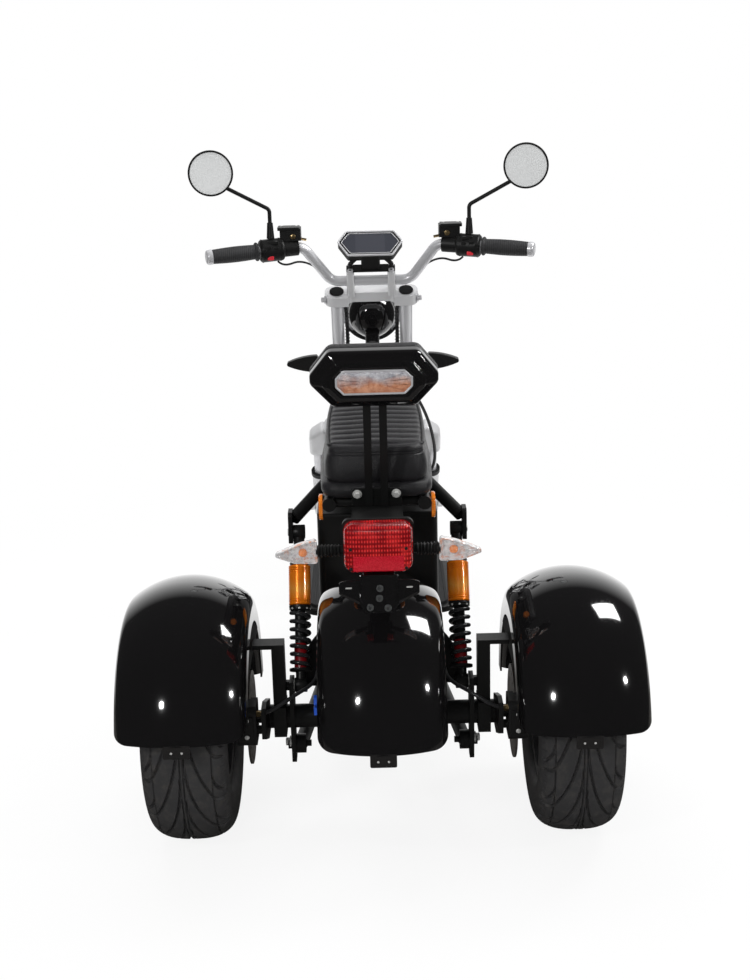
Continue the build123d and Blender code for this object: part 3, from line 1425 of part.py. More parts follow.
with BuildPart() as display_case:
    with BuildSketch(fork_level(RISER_TO + SEAT_GAP)):
        RectangleRounded(2 * RISER_X + RISER_W, 26, 6)
    extrude(amount=4)
    with BuildSketch(fork_level(RISER_TO + 2)):
        RectangleRounded(44, 20, 4)
    extrude(amount=DISPLAY_STAY)
    with BuildSketch(DISPLAY):
        add(display_outline.sketch)
    extrude(amount=-DISPLAY_T)
    with BuildSketch(DISPLAY.offset(-SCREEN_T)):
        add(offset(screen_outline.sketch, amount=SEAT_GAP, mode=Mode.PRIVATE))
    extrude(amount=4 * DISPLAY_T, mode=Mode.SUBTRACT)
save(display_case.part, "display_case")

with BuildPart() as display_screen:
    with BuildSketch(DISPLAY.offset(-SCREEN_T + SEAT_GAP)):
        add(screen_outline.sketch)
    extrude(amount=SCREEN_T - 1)
save(display_screen.part, "display_screen")

# Headlamp and front indicators

lamp_at = on_fork(0, LAMP_AHEAD, LAMP_T_AT)
bucket_front = lamp_at.Y + LAMP_DEPTH - LAMP_RIM_T
with BuildPart() as headlamp_bucket:
    with BuildSketch(Plane.YZ):
        with BuildLine():
            ThreePointArc(
                (lamp_at.Y - LAMP_DEPTH, lamp_at.Z),
                (lamp_at.Y - 0.7 * LAMP_DEPTH, lamp_at.Z + 0.74 * BUCKET_R),
                (lamp_at.Y, lamp_at.Z + BUCKET_R),
            )
            Polyline(
                (lamp_at.Y, lamp_at.Z + BUCKET_R),
                (bucket_front, lamp_at.Z + LAMP_RIM_R - 6),
                (bucket_front, lamp_at.Z),
                (lamp_at.Y - LAMP_DEPTH, lamp_at.Z),
            )
        make_face()
    revolve(axis=Axis(lamp_at, (0, 1, 0)))
    with BuildSketch(fork_level(YOKE_TO + SEAT_GAP, 0, 8)):
        RectangleRounded(34, 22, 4)
    extrude(amount=60)
save(headlamp_bucket.part, "headlamp_bucket")

with BuildPart() as headlamp_rim:
    with BuildSketch(Plane.XZ.offset(-(lamp_at.Y + LAMP_DEPTH - LAMP_RIM_T + SEAT_GAP))):
        with Locations((0, lamp_at.Z)):
            Circle(LAMP_RIM_R)
            Circle(LAMP_RIM_R - 9, mode=Mode.SUBTRACT)
    extrude(amount=-LAMP_RIM_T)
save(headlamp_rim.part, "headlamp_rim")

with BuildPart() as headlamp_lens:
    with BuildSketch(Plane.XZ.offset(-(lamp_at.Y + LAMP_DEPTH - LAMP_RIM_T + SEAT_GAP))):
        with Locations((0, lamp_at.Z)):
            Circle(LAMP_RIM_R - 9 - SEAT_GAP)
    extrude(amount=-LAMP_RIM_T + 2)
    fillet(faces().sort_by(Axis.Y)[-1].edges(), 8)
save(headlamp_lens.part, "headlamp_lens")

front_at = on_fork(0, 0, FRONT_INDICATOR_T_AT)
front_teardrop = teardrop(
    Plane(origin=(0, front_at.Y, front_at.Z), x_dir=(1, 0, 0), z_dir=(0, -1, 0)),
    FRONT_INDICATOR_ROOT + 6,
    FRONT_INDICATOR_TIP - 2,
    INDICATOR_H - 3,
)
front_root = FRONT_INDICATOR_ROOT + 6 - 0.18 * (INDICATOR_H - 3)
with BuildPart() as indicators_front:
    extrude(front_teardrop, amount=INDICATOR_LENS_T / 2, both=True)
    chamfer(faces().sort_by(Axis.Y)[0].edges(), 1.5)
    chamfer(faces().sort_by(Axis.Y)[-1].edges(), 1.5)
    with BuildSketch(Plane.YZ.offset(CROWN_HALF + SEAT_GAP)):
        with Locations((front_at.Y, front_at.Z + 8)):
            Circle(STALK_R)
    extrude(amount=front_root - CROWN_HALF + 8)
    mirror(about=Plane.YZ)
save(indicators_front.part, "indicators_front")

# Cables along the fork and the front brake hose

cable_top = along_bar(SWITCH_FROM + 14).origin + Vector(0, 4, -SWITCH_R - SEAT_GAP - 1)
loom_top = on_fork(CABLE_X + 24, 46, CROWN_TO)
lead_right = bent_tube(
    [
        cable_top,
        cable_top + Vector(-12, 5, -14),
        along_bar(BAR_BEND_X + 2).origin + Vector(0, 12, -BAR_R - 19),
        on_fork(CABLE_X + 44, 34, CROWN_TO + 28),
        loom_top,
    ],
    LEAD_R,
    12,
)
cable_right = bent_tube(
    [
        loom_top,
        on_fork(CABLE_X, 40, CROWN_FROM - 34),
        on_fork(CABLE_X, -18, YOKE_TO + 76),
        on_fork(CABLE_X, -20, YOKE_TO + SEAT_GAP),
    ],
    CABLE_R,
    16,
)
hose_low = 34 + 62 + SEAT_GAP
hose_right = bent_tube(
    [
        on_fork(CABLE_X + 30, CLAMP_REAR + 10, YOKE_FROM - SEAT_GAP),
        on_fork(CABLE_X + 30, CLAMP_REAR + 10, YOKE_FROM - 44),
        on_fork(LOWER_X - 4, -40, BRIDGE_HIGH + 16),
        on_fork(LOWER_X + 14, -38, BRIDGE_LOW - 24),
        on_fork(FRONT_DISC_X + 4, -66, hose_low + 40),
        on_fork(FRONT_DISC_X + 4, -66, hose_low),
    ],
    HOSE_R,
    18,
)
with BuildPart() as cables:
    add(lead_right)
    add(cable_right)
    mirror(about=Plane.YZ)
    add(hose_right)
save(cables.part, "cables")
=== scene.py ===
"""Looks of a motorized trike: gloss black mudguards, fat road tyres, ribbed seat, silver fork and bar.

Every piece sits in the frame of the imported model, in metres: +X to the rider's right, +Y ahead, +Z up.
"""

import json
from math import cos, pi, radians, sin

import bmesh
import bpy
import numpy as np
from mathutils import Matrix, Vector


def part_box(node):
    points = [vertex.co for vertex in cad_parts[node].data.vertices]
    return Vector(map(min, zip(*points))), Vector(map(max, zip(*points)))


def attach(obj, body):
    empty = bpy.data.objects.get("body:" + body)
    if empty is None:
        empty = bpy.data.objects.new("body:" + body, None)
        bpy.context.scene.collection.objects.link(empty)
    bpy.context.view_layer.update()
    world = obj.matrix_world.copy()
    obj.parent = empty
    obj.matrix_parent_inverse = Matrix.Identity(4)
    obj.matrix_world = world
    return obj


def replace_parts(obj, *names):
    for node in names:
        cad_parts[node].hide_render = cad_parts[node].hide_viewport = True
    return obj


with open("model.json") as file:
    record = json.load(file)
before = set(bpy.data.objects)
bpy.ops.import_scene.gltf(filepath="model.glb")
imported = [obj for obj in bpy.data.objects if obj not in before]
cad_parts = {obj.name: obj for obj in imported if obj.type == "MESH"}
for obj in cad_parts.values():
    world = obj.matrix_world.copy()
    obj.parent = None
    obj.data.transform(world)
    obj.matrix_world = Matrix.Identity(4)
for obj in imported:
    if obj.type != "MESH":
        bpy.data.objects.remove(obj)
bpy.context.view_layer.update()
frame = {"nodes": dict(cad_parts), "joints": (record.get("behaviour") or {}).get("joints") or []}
scene = bpy.context.scene
nodes = frame["nodes"]

# Directions, and what mirrors a place to the other side
ACROSS = np.array([1.0, 0.0, 0.0])
AHEAD = np.array([0.0, 1.0, 0.0])
UP = np.array([0.0, 0.0, 1.0])
OTHER_SIDE = np.array([-1.0, 1.0, 1.0])


def box_of(node):
    """Lowest corner, highest corner and middle of a node, as arrays."""
    low, high = (np.array(corner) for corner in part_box(node))
    return low, high, (low + high) / 2


def joint_at(name):
    """Where a joint sits, and its direction."""
    joint = next(j for j in frame["joints"] if j["name"] == name)
    return np.array(joint["pos_m"]), np.array(joint["axis"])


rear_hub = joint_at("rear_right_spin")[0]
front_hub = joint_at("front_wheel_spin")[0]
steer_axis = joint_at("steering_turn")[1]
REAR_Y = rear_hub[1]
fork_up = steer_axis / np.linalg.norm(steer_axis)
fork_ahead = np.cross(fork_up, ACROSS)


def on_fork(across, ahead, up):
    """A place given across, ahead of and up along the fork legs, from the front hub."""
    return front_hub + across * ACROSS + ahead * fork_ahead + up * fork_up

# ---------------------------------------------------------------- surfaces


def unit(v):
    """A vector, or each row of an array of them, made one long."""
    v = np.asarray(v, float)
    return v / np.linalg.norm(v, axis=-1, keepdims=True)


def frame_for(axis):
    """Two directions square to an axis and to each other."""
    axis = unit(axis)
    helper = UP if abs(axis[2]) < 0.9 else AHEAD
    side = unit(np.cross(helper, axis))
    return side, np.cross(axis, side)


def turned(profile, centre, axis, steps=48):
    """A turned shape: each (along, radius) of the profile goes round the axis through the centre."""
    along, radius = np.asarray(profile, float).T
    side, other = frame_for(axis)
    axis = unit(axis)
    angle = np.linspace(0, 2 * pi, steps, endpoint=False)
    ring = np.cos(angle)[:, None] * side + np.sin(angle)[:, None] * other
    grid = np.asarray(centre) + along[:, None, None] * axis + radius[:, None, None] * ring
    return grid, False, True


def drum(profile, centre, axis, steps=48):
    """A turned solid: its profile is closed on the axis at both ends."""
    return turned([(profile[0][0], 0.0), *profile, (profile[-1][0], 0.0)], centre, axis, steps)


def frames(path, closed_path=False):
    """Directions ahead, to the side and square to both along a path, turned as little as the path allows."""
    ahead = np.roll(path, -1, 0) - np.roll(path, 1, 0)
    if not closed_path:
        ahead[0], ahead[-1] = path[1] - path[0], path[-1] - path[-2]
    ahead = unit(ahead)
    side = np.empty_like(ahead)
    side[0] = frame_for(ahead[0])[0]
    for i in range(1, len(path)):
        side[i] = side[i - 1] - ahead[i] * (side[i - 1] @ ahead[i])
        side[i] /= np.linalg.norm(side[i])
    return ahead, side, np.cross(ahead, side)


def carried(section, path, closed_path=False):
    """A closed section carried along a path, in the path's own frames."""
    path = np.asarray(path, float)
    ahead, side, other = frames(path, closed_path)
    x, y = np.asarray(section, float).T
    grid = path[:, None] + x[None, :, None] * side[:, None] + y[None, :, None] * other[:, None]
    return grid, closed_path, True


def on_circle(angle):
    """Places on a circle of radius 1."""
    return np.column_stack([np.cos(angle), np.sin(angle)])


def round_section(radius, steps=12):
    """A circle as a closed section."""
    return radius * on_circle(np.linspace(0, 2 * pi, steps, endpoint=False))


def with_mirror(right):
    """The right half of an outline, followed by its mirror image."""
    right = np.asarray(right)
    return np.concatenate([right, right[::-1] * [-1, 1]])


def power(value, exponent):
    """A power that keeps the sign."""
    return np.sign(value) * np.abs(value) ** exponent


def block(centre, size, edge=0.25, axes=None, steps=(20, 40)):
    """A block with rounded edges: a superquadric whose exponent goes from 1, an egg, towards 0, a box."""
    lift = np.linspace(-pi / 2, pi / 2, steps[0])[:, None]
    turn = np.linspace(-pi, pi, steps[1], endpoint=False)[None, :]
    x = power(np.cos(lift), edge) * power(np.cos(turn), edge)
    y = power(np.cos(lift), edge) * power(np.sin(turn), edge)
    z = power(np.sin(lift), edge) * np.ones_like(turn)
    local = np.stack([x, y, z], -1) * np.asarray(size) / 2
    axes = np.eye(3) if axes is None else np.asarray(axes)
    return np.asarray(centre) + local @ axes, False, True


def rounded_outline(corners, radii, steps=7):
    """A flat outline: each corner is replaced by an arc tangent to its two edges."""
    corners = np.asarray(corners, float)
    radii = np.broadcast_to(radii, len(corners))
    to_last = unit(np.roll(corners, 1, 0) - corners)
    to_next = unit(np.roll(corners, -1, 0) - corners)
    half = np.arccos(np.clip((to_last * to_next).sum(1), -1, 1)) / 2
    reach = radii / np.tan(half)
    middle = corners + unit(to_last + to_next) * (radii / np.sin(half))[:, None]
    first = corners + to_last * reach[:, None] - middle
    last = corners + to_next * reach[:, None] - middle
    share = np.linspace(0, 1, steps)[None, :, None]
    arc = first[:, None] * (1 - share) + last[:, None] * share
    arc = unit(arc) * np.asarray(radii)[:, None, None]
    return (middle[:, None] + arc).reshape(-1, 2)


def raised(flat, height, centre, x_axis, y_axis):
    """Rings of flat points set out on two axes, each lifted square to both by its height."""
    x_axis, y_axis = unit(x_axis), unit(y_axis)
    grid = np.asarray(centre) + flat[..., :1] * x_axis + flat[..., 1:] * y_axis
    return grid + height[:, None, None] * np.cross(x_axis, y_axis), False, True


def layered(outline, layers, centre, x_axis, y_axis):
    """An outline carried through layers of (inset, height): a ring is the outline moved inwards by its inset.

    The first and last ring close on their middles, so the shape is shut.
    """
    outline = np.asarray(outline, float)
    run = unit(np.roll(outline, -1, 0) - np.roll(outline, 1, 0))
    inward = np.column_stack([-run[:, 1], run[:, 0]])
    area = (outline[:, 0] * np.roll(outline[:, 1], -1) - np.roll(outline[:, 0], -1) * outline[:, 1]).sum()
    inward *= np.sign(area)
    inset, height = np.asarray(layers, float).T
    flat = outline[None] + inset[:, None, None] * inward[None]
    middle = flat.mean(1, keepdims=True)
    share = np.linspace(1, 0, 5)[:-1]
    low = middle[:1] + (flat[:1] - middle[:1]) * (1 - share)[:, None, None]
    high = middle[-1:] + (flat[-1:] - middle[-1:]) * share[:, None, None]
    flat = np.concatenate([low, flat, high, middle[-1:].repeat(len(outline), 1)])
    height = np.concatenate([np.full(4, height[0]), height, np.full(5, height[-1])])
    return raised(flat, height, centre, x_axis, y_axis)


def domed(outline, layers, centre, x_axis, y_axis):
    """An outline carried through layers of (share, height): each ring is shrunk inwards by its share."""
    outline = np.asarray(outline, float)
    middle = outline.mean(0)
    share, height = np.concatenate([[(1, layers[0][1])], layers, [(1, layers[-1][1])]]).T
    flat = middle + (outline - middle)[None] * (1 - share)[:, None, None]
    return raised(flat, height, centre, x_axis, y_axis)


def bevelled(thick, edge, steps=4):
    """Layers of a plate of a thickness, its two rims rounded by an edge radius."""
    turn = np.linspace(0, pi / 2, steps)
    rim = np.column_stack([edge * (1 - np.sin(turn)), edge * (1 - np.cos(turn))])
    top = np.column_stack([rim[::-1, 0], thick - rim[::-1, 1]])
    return np.concatenate([rim, top])


def both_sides(patches):
    """Surfaces of the right side, with their mirror images."""
    return patches + [(grid * OTHER_SIDE, rows, columns) for grid, rows, columns in patches]


def grid_faces(rows, columns, closed_rows, closed_columns):
    """The quads between neighbours of a grid; a closed direction wraps round."""
    r = np.arange(rows if closed_rows else rows - 1)
    c = np.arange(columns if closed_columns else columns - 1)
    a, b = (m.ravel() for m in np.meshgrid(r, c, indexing="ij"))
    down, right = (a + 1) % rows, (b + 1) % columns
    return np.column_stack([a * columns + b, down * columns + b, down * columns + right, a * columns + right])


def piece(name, patches, finish, body="chassis", sharp=50.0, caps=True):
    """One object from its surfaces: tube ends are shut, doubles merged and faces turned outwards."""
    points, faces, count = [], [], 0
    for grid, closed_rows, closed_columns in patches:
        rows, columns = grid.shape[:2]
        points.append(grid.reshape(-1, 3))
        faces += (grid_faces(rows, columns, closed_rows, closed_columns) + count).tolist()
        if caps and closed_columns and not closed_rows:
            for row in (0, rows - 1):
                if np.ptp(grid[row], axis=0).max() > 1e-6:
                    faces.append((row * columns + np.arange(columns) + count).tolist())
        count += rows * columns
    mesh = bpy.data.meshes.new(name)
    mesh.from_pydata(np.concatenate(points), [], faces)
    made = bmesh.new()
    made.from_mesh(mesh)
    bmesh.ops.remove_doubles(made, verts=made.verts, dist=1e-6)
    bmesh.ops.recalc_face_normals(made, faces=made.faces)
    made.to_mesh(mesh)
    made.free()
    mesh.shade_smooth()
    mesh.set_sharp_from_angle(angle=radians(sharp))
    mesh.materials.append(finish)
    thing = bpy.data.objects.new(name, mesh)
    scene.collection.objects.link(thing)
    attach(thing, body)
    return thing

# ---------------------------------------------------------------- finishes


def sign(operation, swapped=False):
    """An arithmetic sign between a Field and another value, as a Math node."""
    return lambda field, other=0.0: field.math(operation, other, swapped)


class Field:
    """A value that varies over a surface; arithmetic on it adds Math nodes."""

    def __init__(self, finish, socket):
        self.finish, self.socket = finish, socket

    def math(self, operation, other=0.0, swapped=False, clamp=False):
        pair = (other, self) if swapped else (self, other)
        settings = {"operation": operation, "use_clamp": clamp}
        return self.finish.node("ShaderNodeMath", settings, {0: pair[0], 1: pair[1]})

    def clamped(self):
        return self.math("ADD", clamp=True)

    __add__ = __radd__ = sign("ADD")
    __mul__ = __rmul__ = sign("MULTIPLY")
    __sub__, __rsub__ = sign("SUBTRACT"), sign("SUBTRACT", swapped=True)
    __truediv__, __abs__ = sign("DIVIDE"), sign("ABSOLUTE")
    __gt__, __lt__ = sign("GREATER_THAN"), sign("LESS_THAN")


class Tree:
    """A node tree under work."""

    def __init__(self, tree):
        self.tree = tree

    def node(self, kind, settings, inputs, output=0):
        """Any node: its settings first, then its sockets' values or links; gives the named output."""
        made = self.tree.nodes.new(kind)
        for key, value in settings.items():
            setattr(made, key, value)
        for key, value in inputs.items():
            if isinstance(value, Field):
                self.tree.links.new(value.socket, made.inputs[key])
            else:
                made.inputs[key].default_value = value
        return Field(self, made.outputs[output])

    def ray(self, kind):
        """1 for one kind of ray, 0 for the others."""
        return self.node("ShaderNodeLightPath", {}, {}, f"Is {kind} Ray")


class Finish(Tree):
    """A material under work: Principled constants first, then what varies is fed in."""

    def __init__(self, name, **constants):
        self.material = bpy.data.materials.new(name)
        self.material.use_nodes = True
        super().__init__(self.material.node_tree)
        self.shader = self.tree.nodes["Principled BSDF"]
        for socket, value in constants.items():
            name_of = socket.replace("_", " ").title().replace("Ior", "IOR")
            self.shader.inputs[name_of].default_value = (*value, 1.0) if isinstance(value, tuple) else value
        self.place = self.node("ShaderNodeTexCoord", {}, {}, "Object")

    def axis(self, name):
        """One Object coordinate, in metres."""
        return self.node("ShaderNodeSeparateXYZ", {}, {0: self.place}, name)

    def noise(self, scale, detail=4.0, roughness=0.55):
        """Cloudy variation from 0 to 1."""
        sockets = {"Vector": self.place, "Scale": scale, "Detail": detail, "Roughness": roughness}
        return self.node("ShaderNodeTexNoise", {}, sockets)

    def cells(self, scale, feature="F1"):
        """Distance to the nearest of scattered points, for grain."""
        sockets = {"Vector": self.place, "Scale": scale}
        return self.node("ShaderNodeTexVoronoi", {"feature": feature}, sockets, "Distance")

    def mix(self, share, first, second):
        """A colour between two colours."""
        pair = [c if isinstance(c, Field) else (*c, 1.0) for c in (first, second)]
        return self.node("ShaderNodeMix", {"data_type": "RGBA"}, {0: share, 6: pair[0], 7: pair[1]}, 2)

    def wave(self, value, pitch):
        """A sine of a length, from -1 to 1, once each pitch."""
        return (value * (2 * pi / pitch)).math("SINE")

    def feed(self, socket, value):
        """What varies goes into one of the shader's sockets."""
        self.tree.links.new(value.socket, self.shader.inputs[socket])
        return self

    def bump(self, height, distance):
        """A height in 0 to 1 raises the surface by a distance in metres."""
        sockets = {"Strength": 1.0, "Distance": distance, "Height": height}
        return self.feed("Normal", self.node("ShaderNodeBump", {}, sockets))

    def cloudy(self, cloud, dark, light, spread, smoothest):
        """A cloud leads from the dark colour to the light one, and adds a spread to the roughness."""
        self.feed("Base Color", self.mix(cloud, dark, light))
        return self.feed("Roughness", cloud * spread + smoothest)


def grey(value):
    """An even grey."""
    return value, value, value


def plain(name, colour, dark, roughness, spread, grain, rise, **constants):
    """A finish with cloudy colour, roughness that drifts, and fine grain."""
    made = Finish(name, **constants)
    made.cloudy(made.noise(9.0), dark, colour, spread, roughness - spread / 2)
    return made.bump(made.noise(grain, 3.0), rise).material


def coloured_plastic(name, colour):
    """A small coloured moulding, slightly uneven."""
    dark = tuple(0.7 * c for c in colour)
    return plain(name, colour, dark, 0.32, 0.12, 900.0, 0.00008, coat_weight=0.3)


def gloss_black():
    """Black lacquer: near mirror-smooth, with faint wipe marks and fine dust on what faces up."""
    made = Finish("gloss_black", coat_weight=1.0, coat_roughness=0.015, specular_ior_level=0.5)
    wipe = made.noise(5.0, 6.0, 0.6)
    dust = made.noise(420.0, 2.0) > 0.71
    made.feed("Base Color", made.mix(dust * 0.05, (0.0045, 0.0042, 0.0045), (0.06, 0.06, 0.06)))
    made.feed("Roughness", wipe * 0.07 + 0.05)
    return made.material


def tyre_rubber():
    """Road rubber: dark grey, scuffed brownish on the tread, with moulding dust on the walls."""
    made = Finish("tyre_rubber", specular_ior_level=0.4)
    cloud = made.noise(14.0, 6.0, 0.65)
    scuff = (made.noise(60.0, 5.0, 0.7) - 0.48) * 3.5
    dark = made.mix(cloud, (0.020, 0.020, 0.021), (0.040, 0.039, 0.040))
    made.feed("Base Color", made.mix(scuff.clamped() * 0.4, dark, (0.085, 0.074, 0.062)))
    made.feed("Roughness", cloud * 0.25 + 0.42)
    return made.bump(made.noise(700.0, 4.0), 0.0002).material


def leather():
    """Grained seat cover: small cells raised between fine creases, worn a little shinier in patches."""
    made = Finish("seat_cover", specular_ior_level=0.45)
    cloud = made.noise(7.0, 5.0)
    made.feed("Base Color", made.mix(cloud, (0.010, 0.010, 0.011), (0.020, 0.019, 0.021)))
    made.feed("Roughness", made.noise(30.0) * 0.14 + 0.29)
    grain = made.cells(520.0, "DISTANCE_TO_EDGE") * 3.0 + made.noise(1400.0) * 0.25
    return made.bump(grain, 0.00022).material


def cast_silver():
    """Sand-cast alloy under silver paint: even, slightly grainy."""
    made = Finish("cast_silver", metallic=0.35)
    made.cloudy(made.noise(12.0, 5.0), (0.62, 0.62, 0.63), (0.76, 0.76, 0.77), 0.14, 0.33)
    return made.bump(made.noise(800.0, 4.0), 0.00012).material


def metal(name, colour, roughness, spread, metallic=1.0):
    """Bare or plated metal, clouded a little."""
    made = Finish(name, metallic=metallic)
    dark = tuple(0.86 * c for c in colour)
    made.cloudy(made.noise(18.0, 5.0), dark, colour, spread, roughness - spread / 2)
    return made.bump(made.noise(600.0, 3.0), 0.00002).material


def silver_tube():
    """Satin silver lacquer on drawn tube: pale and half metallic."""
    made = Finish("silver_tube", metallic=0.5, coat_weight=0.3, coat_roughness=0.15)
    made.cloudy(made.noise(14.0, 5.0), (0.64, 0.64, 0.66), (0.76, 0.76, 0.78), 0.12, 0.26)
    return made.bump(made.noise(500.0, 3.0), 0.00003).material


def rim_alloy():
    """Dark cast wheel with a ground steel brake disc: whatever lies in a disc's plane is bare steel."""
    made = Finish("rim_alloy")
    across = abs(made.axis("X"))
    rear, front = (abs(across - plane) < DISC_NEAR for plane in DISC_PLANES)
    disc = (rear + front).clamped()
    cloud = made.noise(16.0)
    cast = made.mix(cloud, (0.03, 0.03, 0.032), (0.06, 0.06, 0.062))
    made.feed("Base Color", made.mix(disc, cast, (0.42, 0.40, 0.38)))
    made.feed("Metallic", disc)
    made.feed("Roughness", cloud * 0.12 + 0.30)
    return made.bump(made.noise(700.0), 0.00008).material


def anodised_orange():
    """Orange anodising over turned alloy: fine rings from the lathe, and a painted highlight, a paler gold
    stripe round it part way up.
    """
    made = Finish("anodised_orange", metallic=0.5, coat_weight=0.8, coat_roughness=0.06)
    cloud = made.noise(26.0, 4.0)
    painted_highlight = 1 - (abs(made.axis("Z") - HIGHLIGHT_Z) / HIGHLIGHT_W).clamped()
    orange = made.mix(cloud, (0.93, 0.19, 0.003), (1.0, 0.28, 0.010))
    # painted highlight: a paler gold stripe mixed into the orange at one height
    made.feed("Base Color", made.mix(painted_highlight * 0.5, orange, (0.95, 0.50, 0.10)))
    made.feed("Roughness", cloud * 0.10 + 0.20)
    return made.bump(made.wave(made.axis("Z"), 0.0012), 0.00003).material


def red_lens():
    """Moulded red lens: rows of small prisms with painted glints, lightest where rows and flutes peak and in
    noisy patches, but a smooth panel with a fine honeycomb low in the middle.
    """
    made = Finish("red_lens", coat_weight=1.0, coat_roughness=0.02, transmission_weight=0.18)
    high = made.axis("Z")
    prisms = ((high > lamp_split) + (abs(made.axis("X")) > PANEL_HALF)).clamped()
    rows = made.wave(high, 0.0080) * 0.5 + 0.5
    flutes = made.wave(made.axis("X"), 0.0048) * 0.5 + 0.5
    comb = made.cells(430.0)
    glow = made.noise(38.0, 3.0)
    # painted glints: the prisms' red is lightest where rows and flutes cross and in noisy patches
    lit = (rows * flutes * 1.1 + (glow - 0.5) * 2.0).clamped()
    bright = made.mix(lit, (0.24, 0.0, 0.003), (0.93, 0.03, 0.03))
    smooth = made.mix(comb * 1.4, (0.42, 0.0, 0.010), (0.66, 0.012, 0.03))
    made.feed("Base Color", made.mix(prisms, smooth, bright))
    made.feed("Roughness", glow * 0.10 + 0.10)
    return made.bump(prisms * (rows * 0.7 + flutes * 0.6) + (1 - prisms) * comb * 0.5, 0.0011).material


def amber_lens():
    """Amber moulded plastic with ribs across it."""
    made = Finish("amber_lens", coat_weight=0.8, coat_roughness=0.04)
    made.cloudy(made.noise(60.0), (0.74, 0.15, 0.008), (0.92, 0.28, 0.02), 0.12, 0.12)
    return made.bump(made.wave(made.axis("Z"), 0.0045) * 0.5 + 0.5, 0.0006).material


def clear_lens():
    """Clear moulded plastic, a little wavy."""
    pale = (0.95, 0.96, 0.97)
    made = Finish("clear_lens", alpha=0.10, base_color=pale, coat_weight=1.0, coat_roughness=0.02)
    made.feed("Roughness", made.noise(30.0) * 0.05 + 0.03)
    return made.bump(made.noise(120.0, 2.0), 0.0003).material


def facet_silver(name, bulb_reflection):
    """A bright reflector pressed into small facets, each painted lighter or darker as a painted glint; in
    some, a painted reflection of the amber bulb, by the share given as the second argument.
    """
    made = Finish(name, metallic=0.3)
    cell = made.cells(170.0)
    # painted glints: each facet a lighter or darker silver
    silver = made.mix(cell * 1.3, (0.50, 0.49, 0.49), (0.92, 0.92, 0.93))
    # painted reflection of the amber bulb in some facets
    share = ((made.noise(95.0, 3.0) - 0.52) * 7.0).clamped() * bulb_reflection
    made.feed("Base Color", made.mix(share, silver, (0.85, 0.26, 0.07)))
    made.feed("Roughness", cell * 0.15 + 0.10)
    return made.bump(cell, 0.0016).material


def backrest_glow():
    """The backrest's lamp: grey along the top, running into amber below, over a crackled reflector."""
    made = Finish("backrest_glow", coat_weight=1.0, coat_roughness=0.02, metallic=0.25)
    streak = made.noise(170.0, 5.0, 0.7)
    crack = (made.cells(60.0) * 0.7 + (streak - 0.42) * 2.2).clamped()
    fade = ((made.axis("Z") - backrest_glow_z) / 0.020 + made.noise(30.0) * 2.4 - 0.75).clamped()
    amber = made.mix(crack, (0.46, 0.15, 0.07), (0.80, 0.40, 0.24))
    grey = made.mix(crack, (0.34, 0.34, 0.38), (0.74, 0.73, 0.76))
    made.feed("Base Color", made.mix(fade, amber, grey))
    made.feed("Roughness", crack * 0.12 + 0.12)
    return made.bump(crack, 0.0010).material


def painted_mirror_reflection():
    """Mirror glass shown dull and pale grey, a painted reflection in place of what it would mirror."""
    made = Finish("painted_mirror_reflection", specular_ior_level=0.06)
    # painted reflection: an even, slightly clouded pale grey on dull glass
    return made.cloudy(made.noise(9.0, 2.0), (0.66, 0.67, 0.67), (0.75, 0.76, 0.76), 0.08, 0.55).material


def grip_rubber():
    """Moulded rubber: fine ribs round the grip, with painted shade darkening the grooves between them."""
    made = Finish("grip_rubber", specular_ior_level=0.4)
    cloud = made.noise(40.0)
    ribs = made.wave(made.axis("X"), 0.0042) * 0.5 + 0.5
    # painted shade: lighter on the rib crests, darker in the grooves, with a cloudy tone
    made.feed("Base Color", made.mix(ribs * 0.6 + cloud * 0.3, (0.016, 0.016, 0.017), (0.042, 0.042, 0.044)))
    made.feed("Roughness", cloud * 0.2 + 0.44)
    return made.bump(ribs + made.noise(900.0) * 0.3, 0.0004).material


def mat_rubber():
    """Floor mat with raised ribs along the trike."""
    made = Finish("mat_rubber", specular_ior_level=0.35)
    made.cloudy(made.noise(20.0), (0.014, 0.014, 0.015), (0.030, 0.030, 0.031), 0.2, 0.55)
    return made.bump((made.wave(made.axis("X"), 0.012) * 2.0).clamped(), 0.002).material


def screen_glass():
    """A dark display under glass, with two faintly lighter windows."""
    made = Finish("screen_glass", coat_weight=1.0, coat_roughness=0.02)
    window = (abs(made.axis("X")) < 0.034) * (made.noise(3.0) + 0.5).clamped()
    cloud = made.noise(24.0)
    made.feed("Base Color", made.mix(window * 0.5, (0.040, 0.042, 0.052), (0.060, 0.062, 0.074)))
    made.feed("Roughness", cloud * 0.06 + 0.10)
    return made.material


# Places that the finishes use
DISC_X, DISC_NEAR = 0.108, 0.0035
DISC_PLANES = (rear_hub[0] - DISC_X, DISC_X)
# Height and half width of the painted highlight on the shock canisters
HIGHLIGHT_Z, HIGHLIGHT_W = 0.442, 0.016
PANEL_HALF = 0.043
lamp_low, lamp_high, lamp_mid = box_of("tail_lamp_lens")
lamp_split = lamp_low[2] + 0.36 * (lamp_high[2] - lamp_low[2])
backrest_glow_z = box_of("backrest_lens")[2][2]

GLOSS = gloss_black()
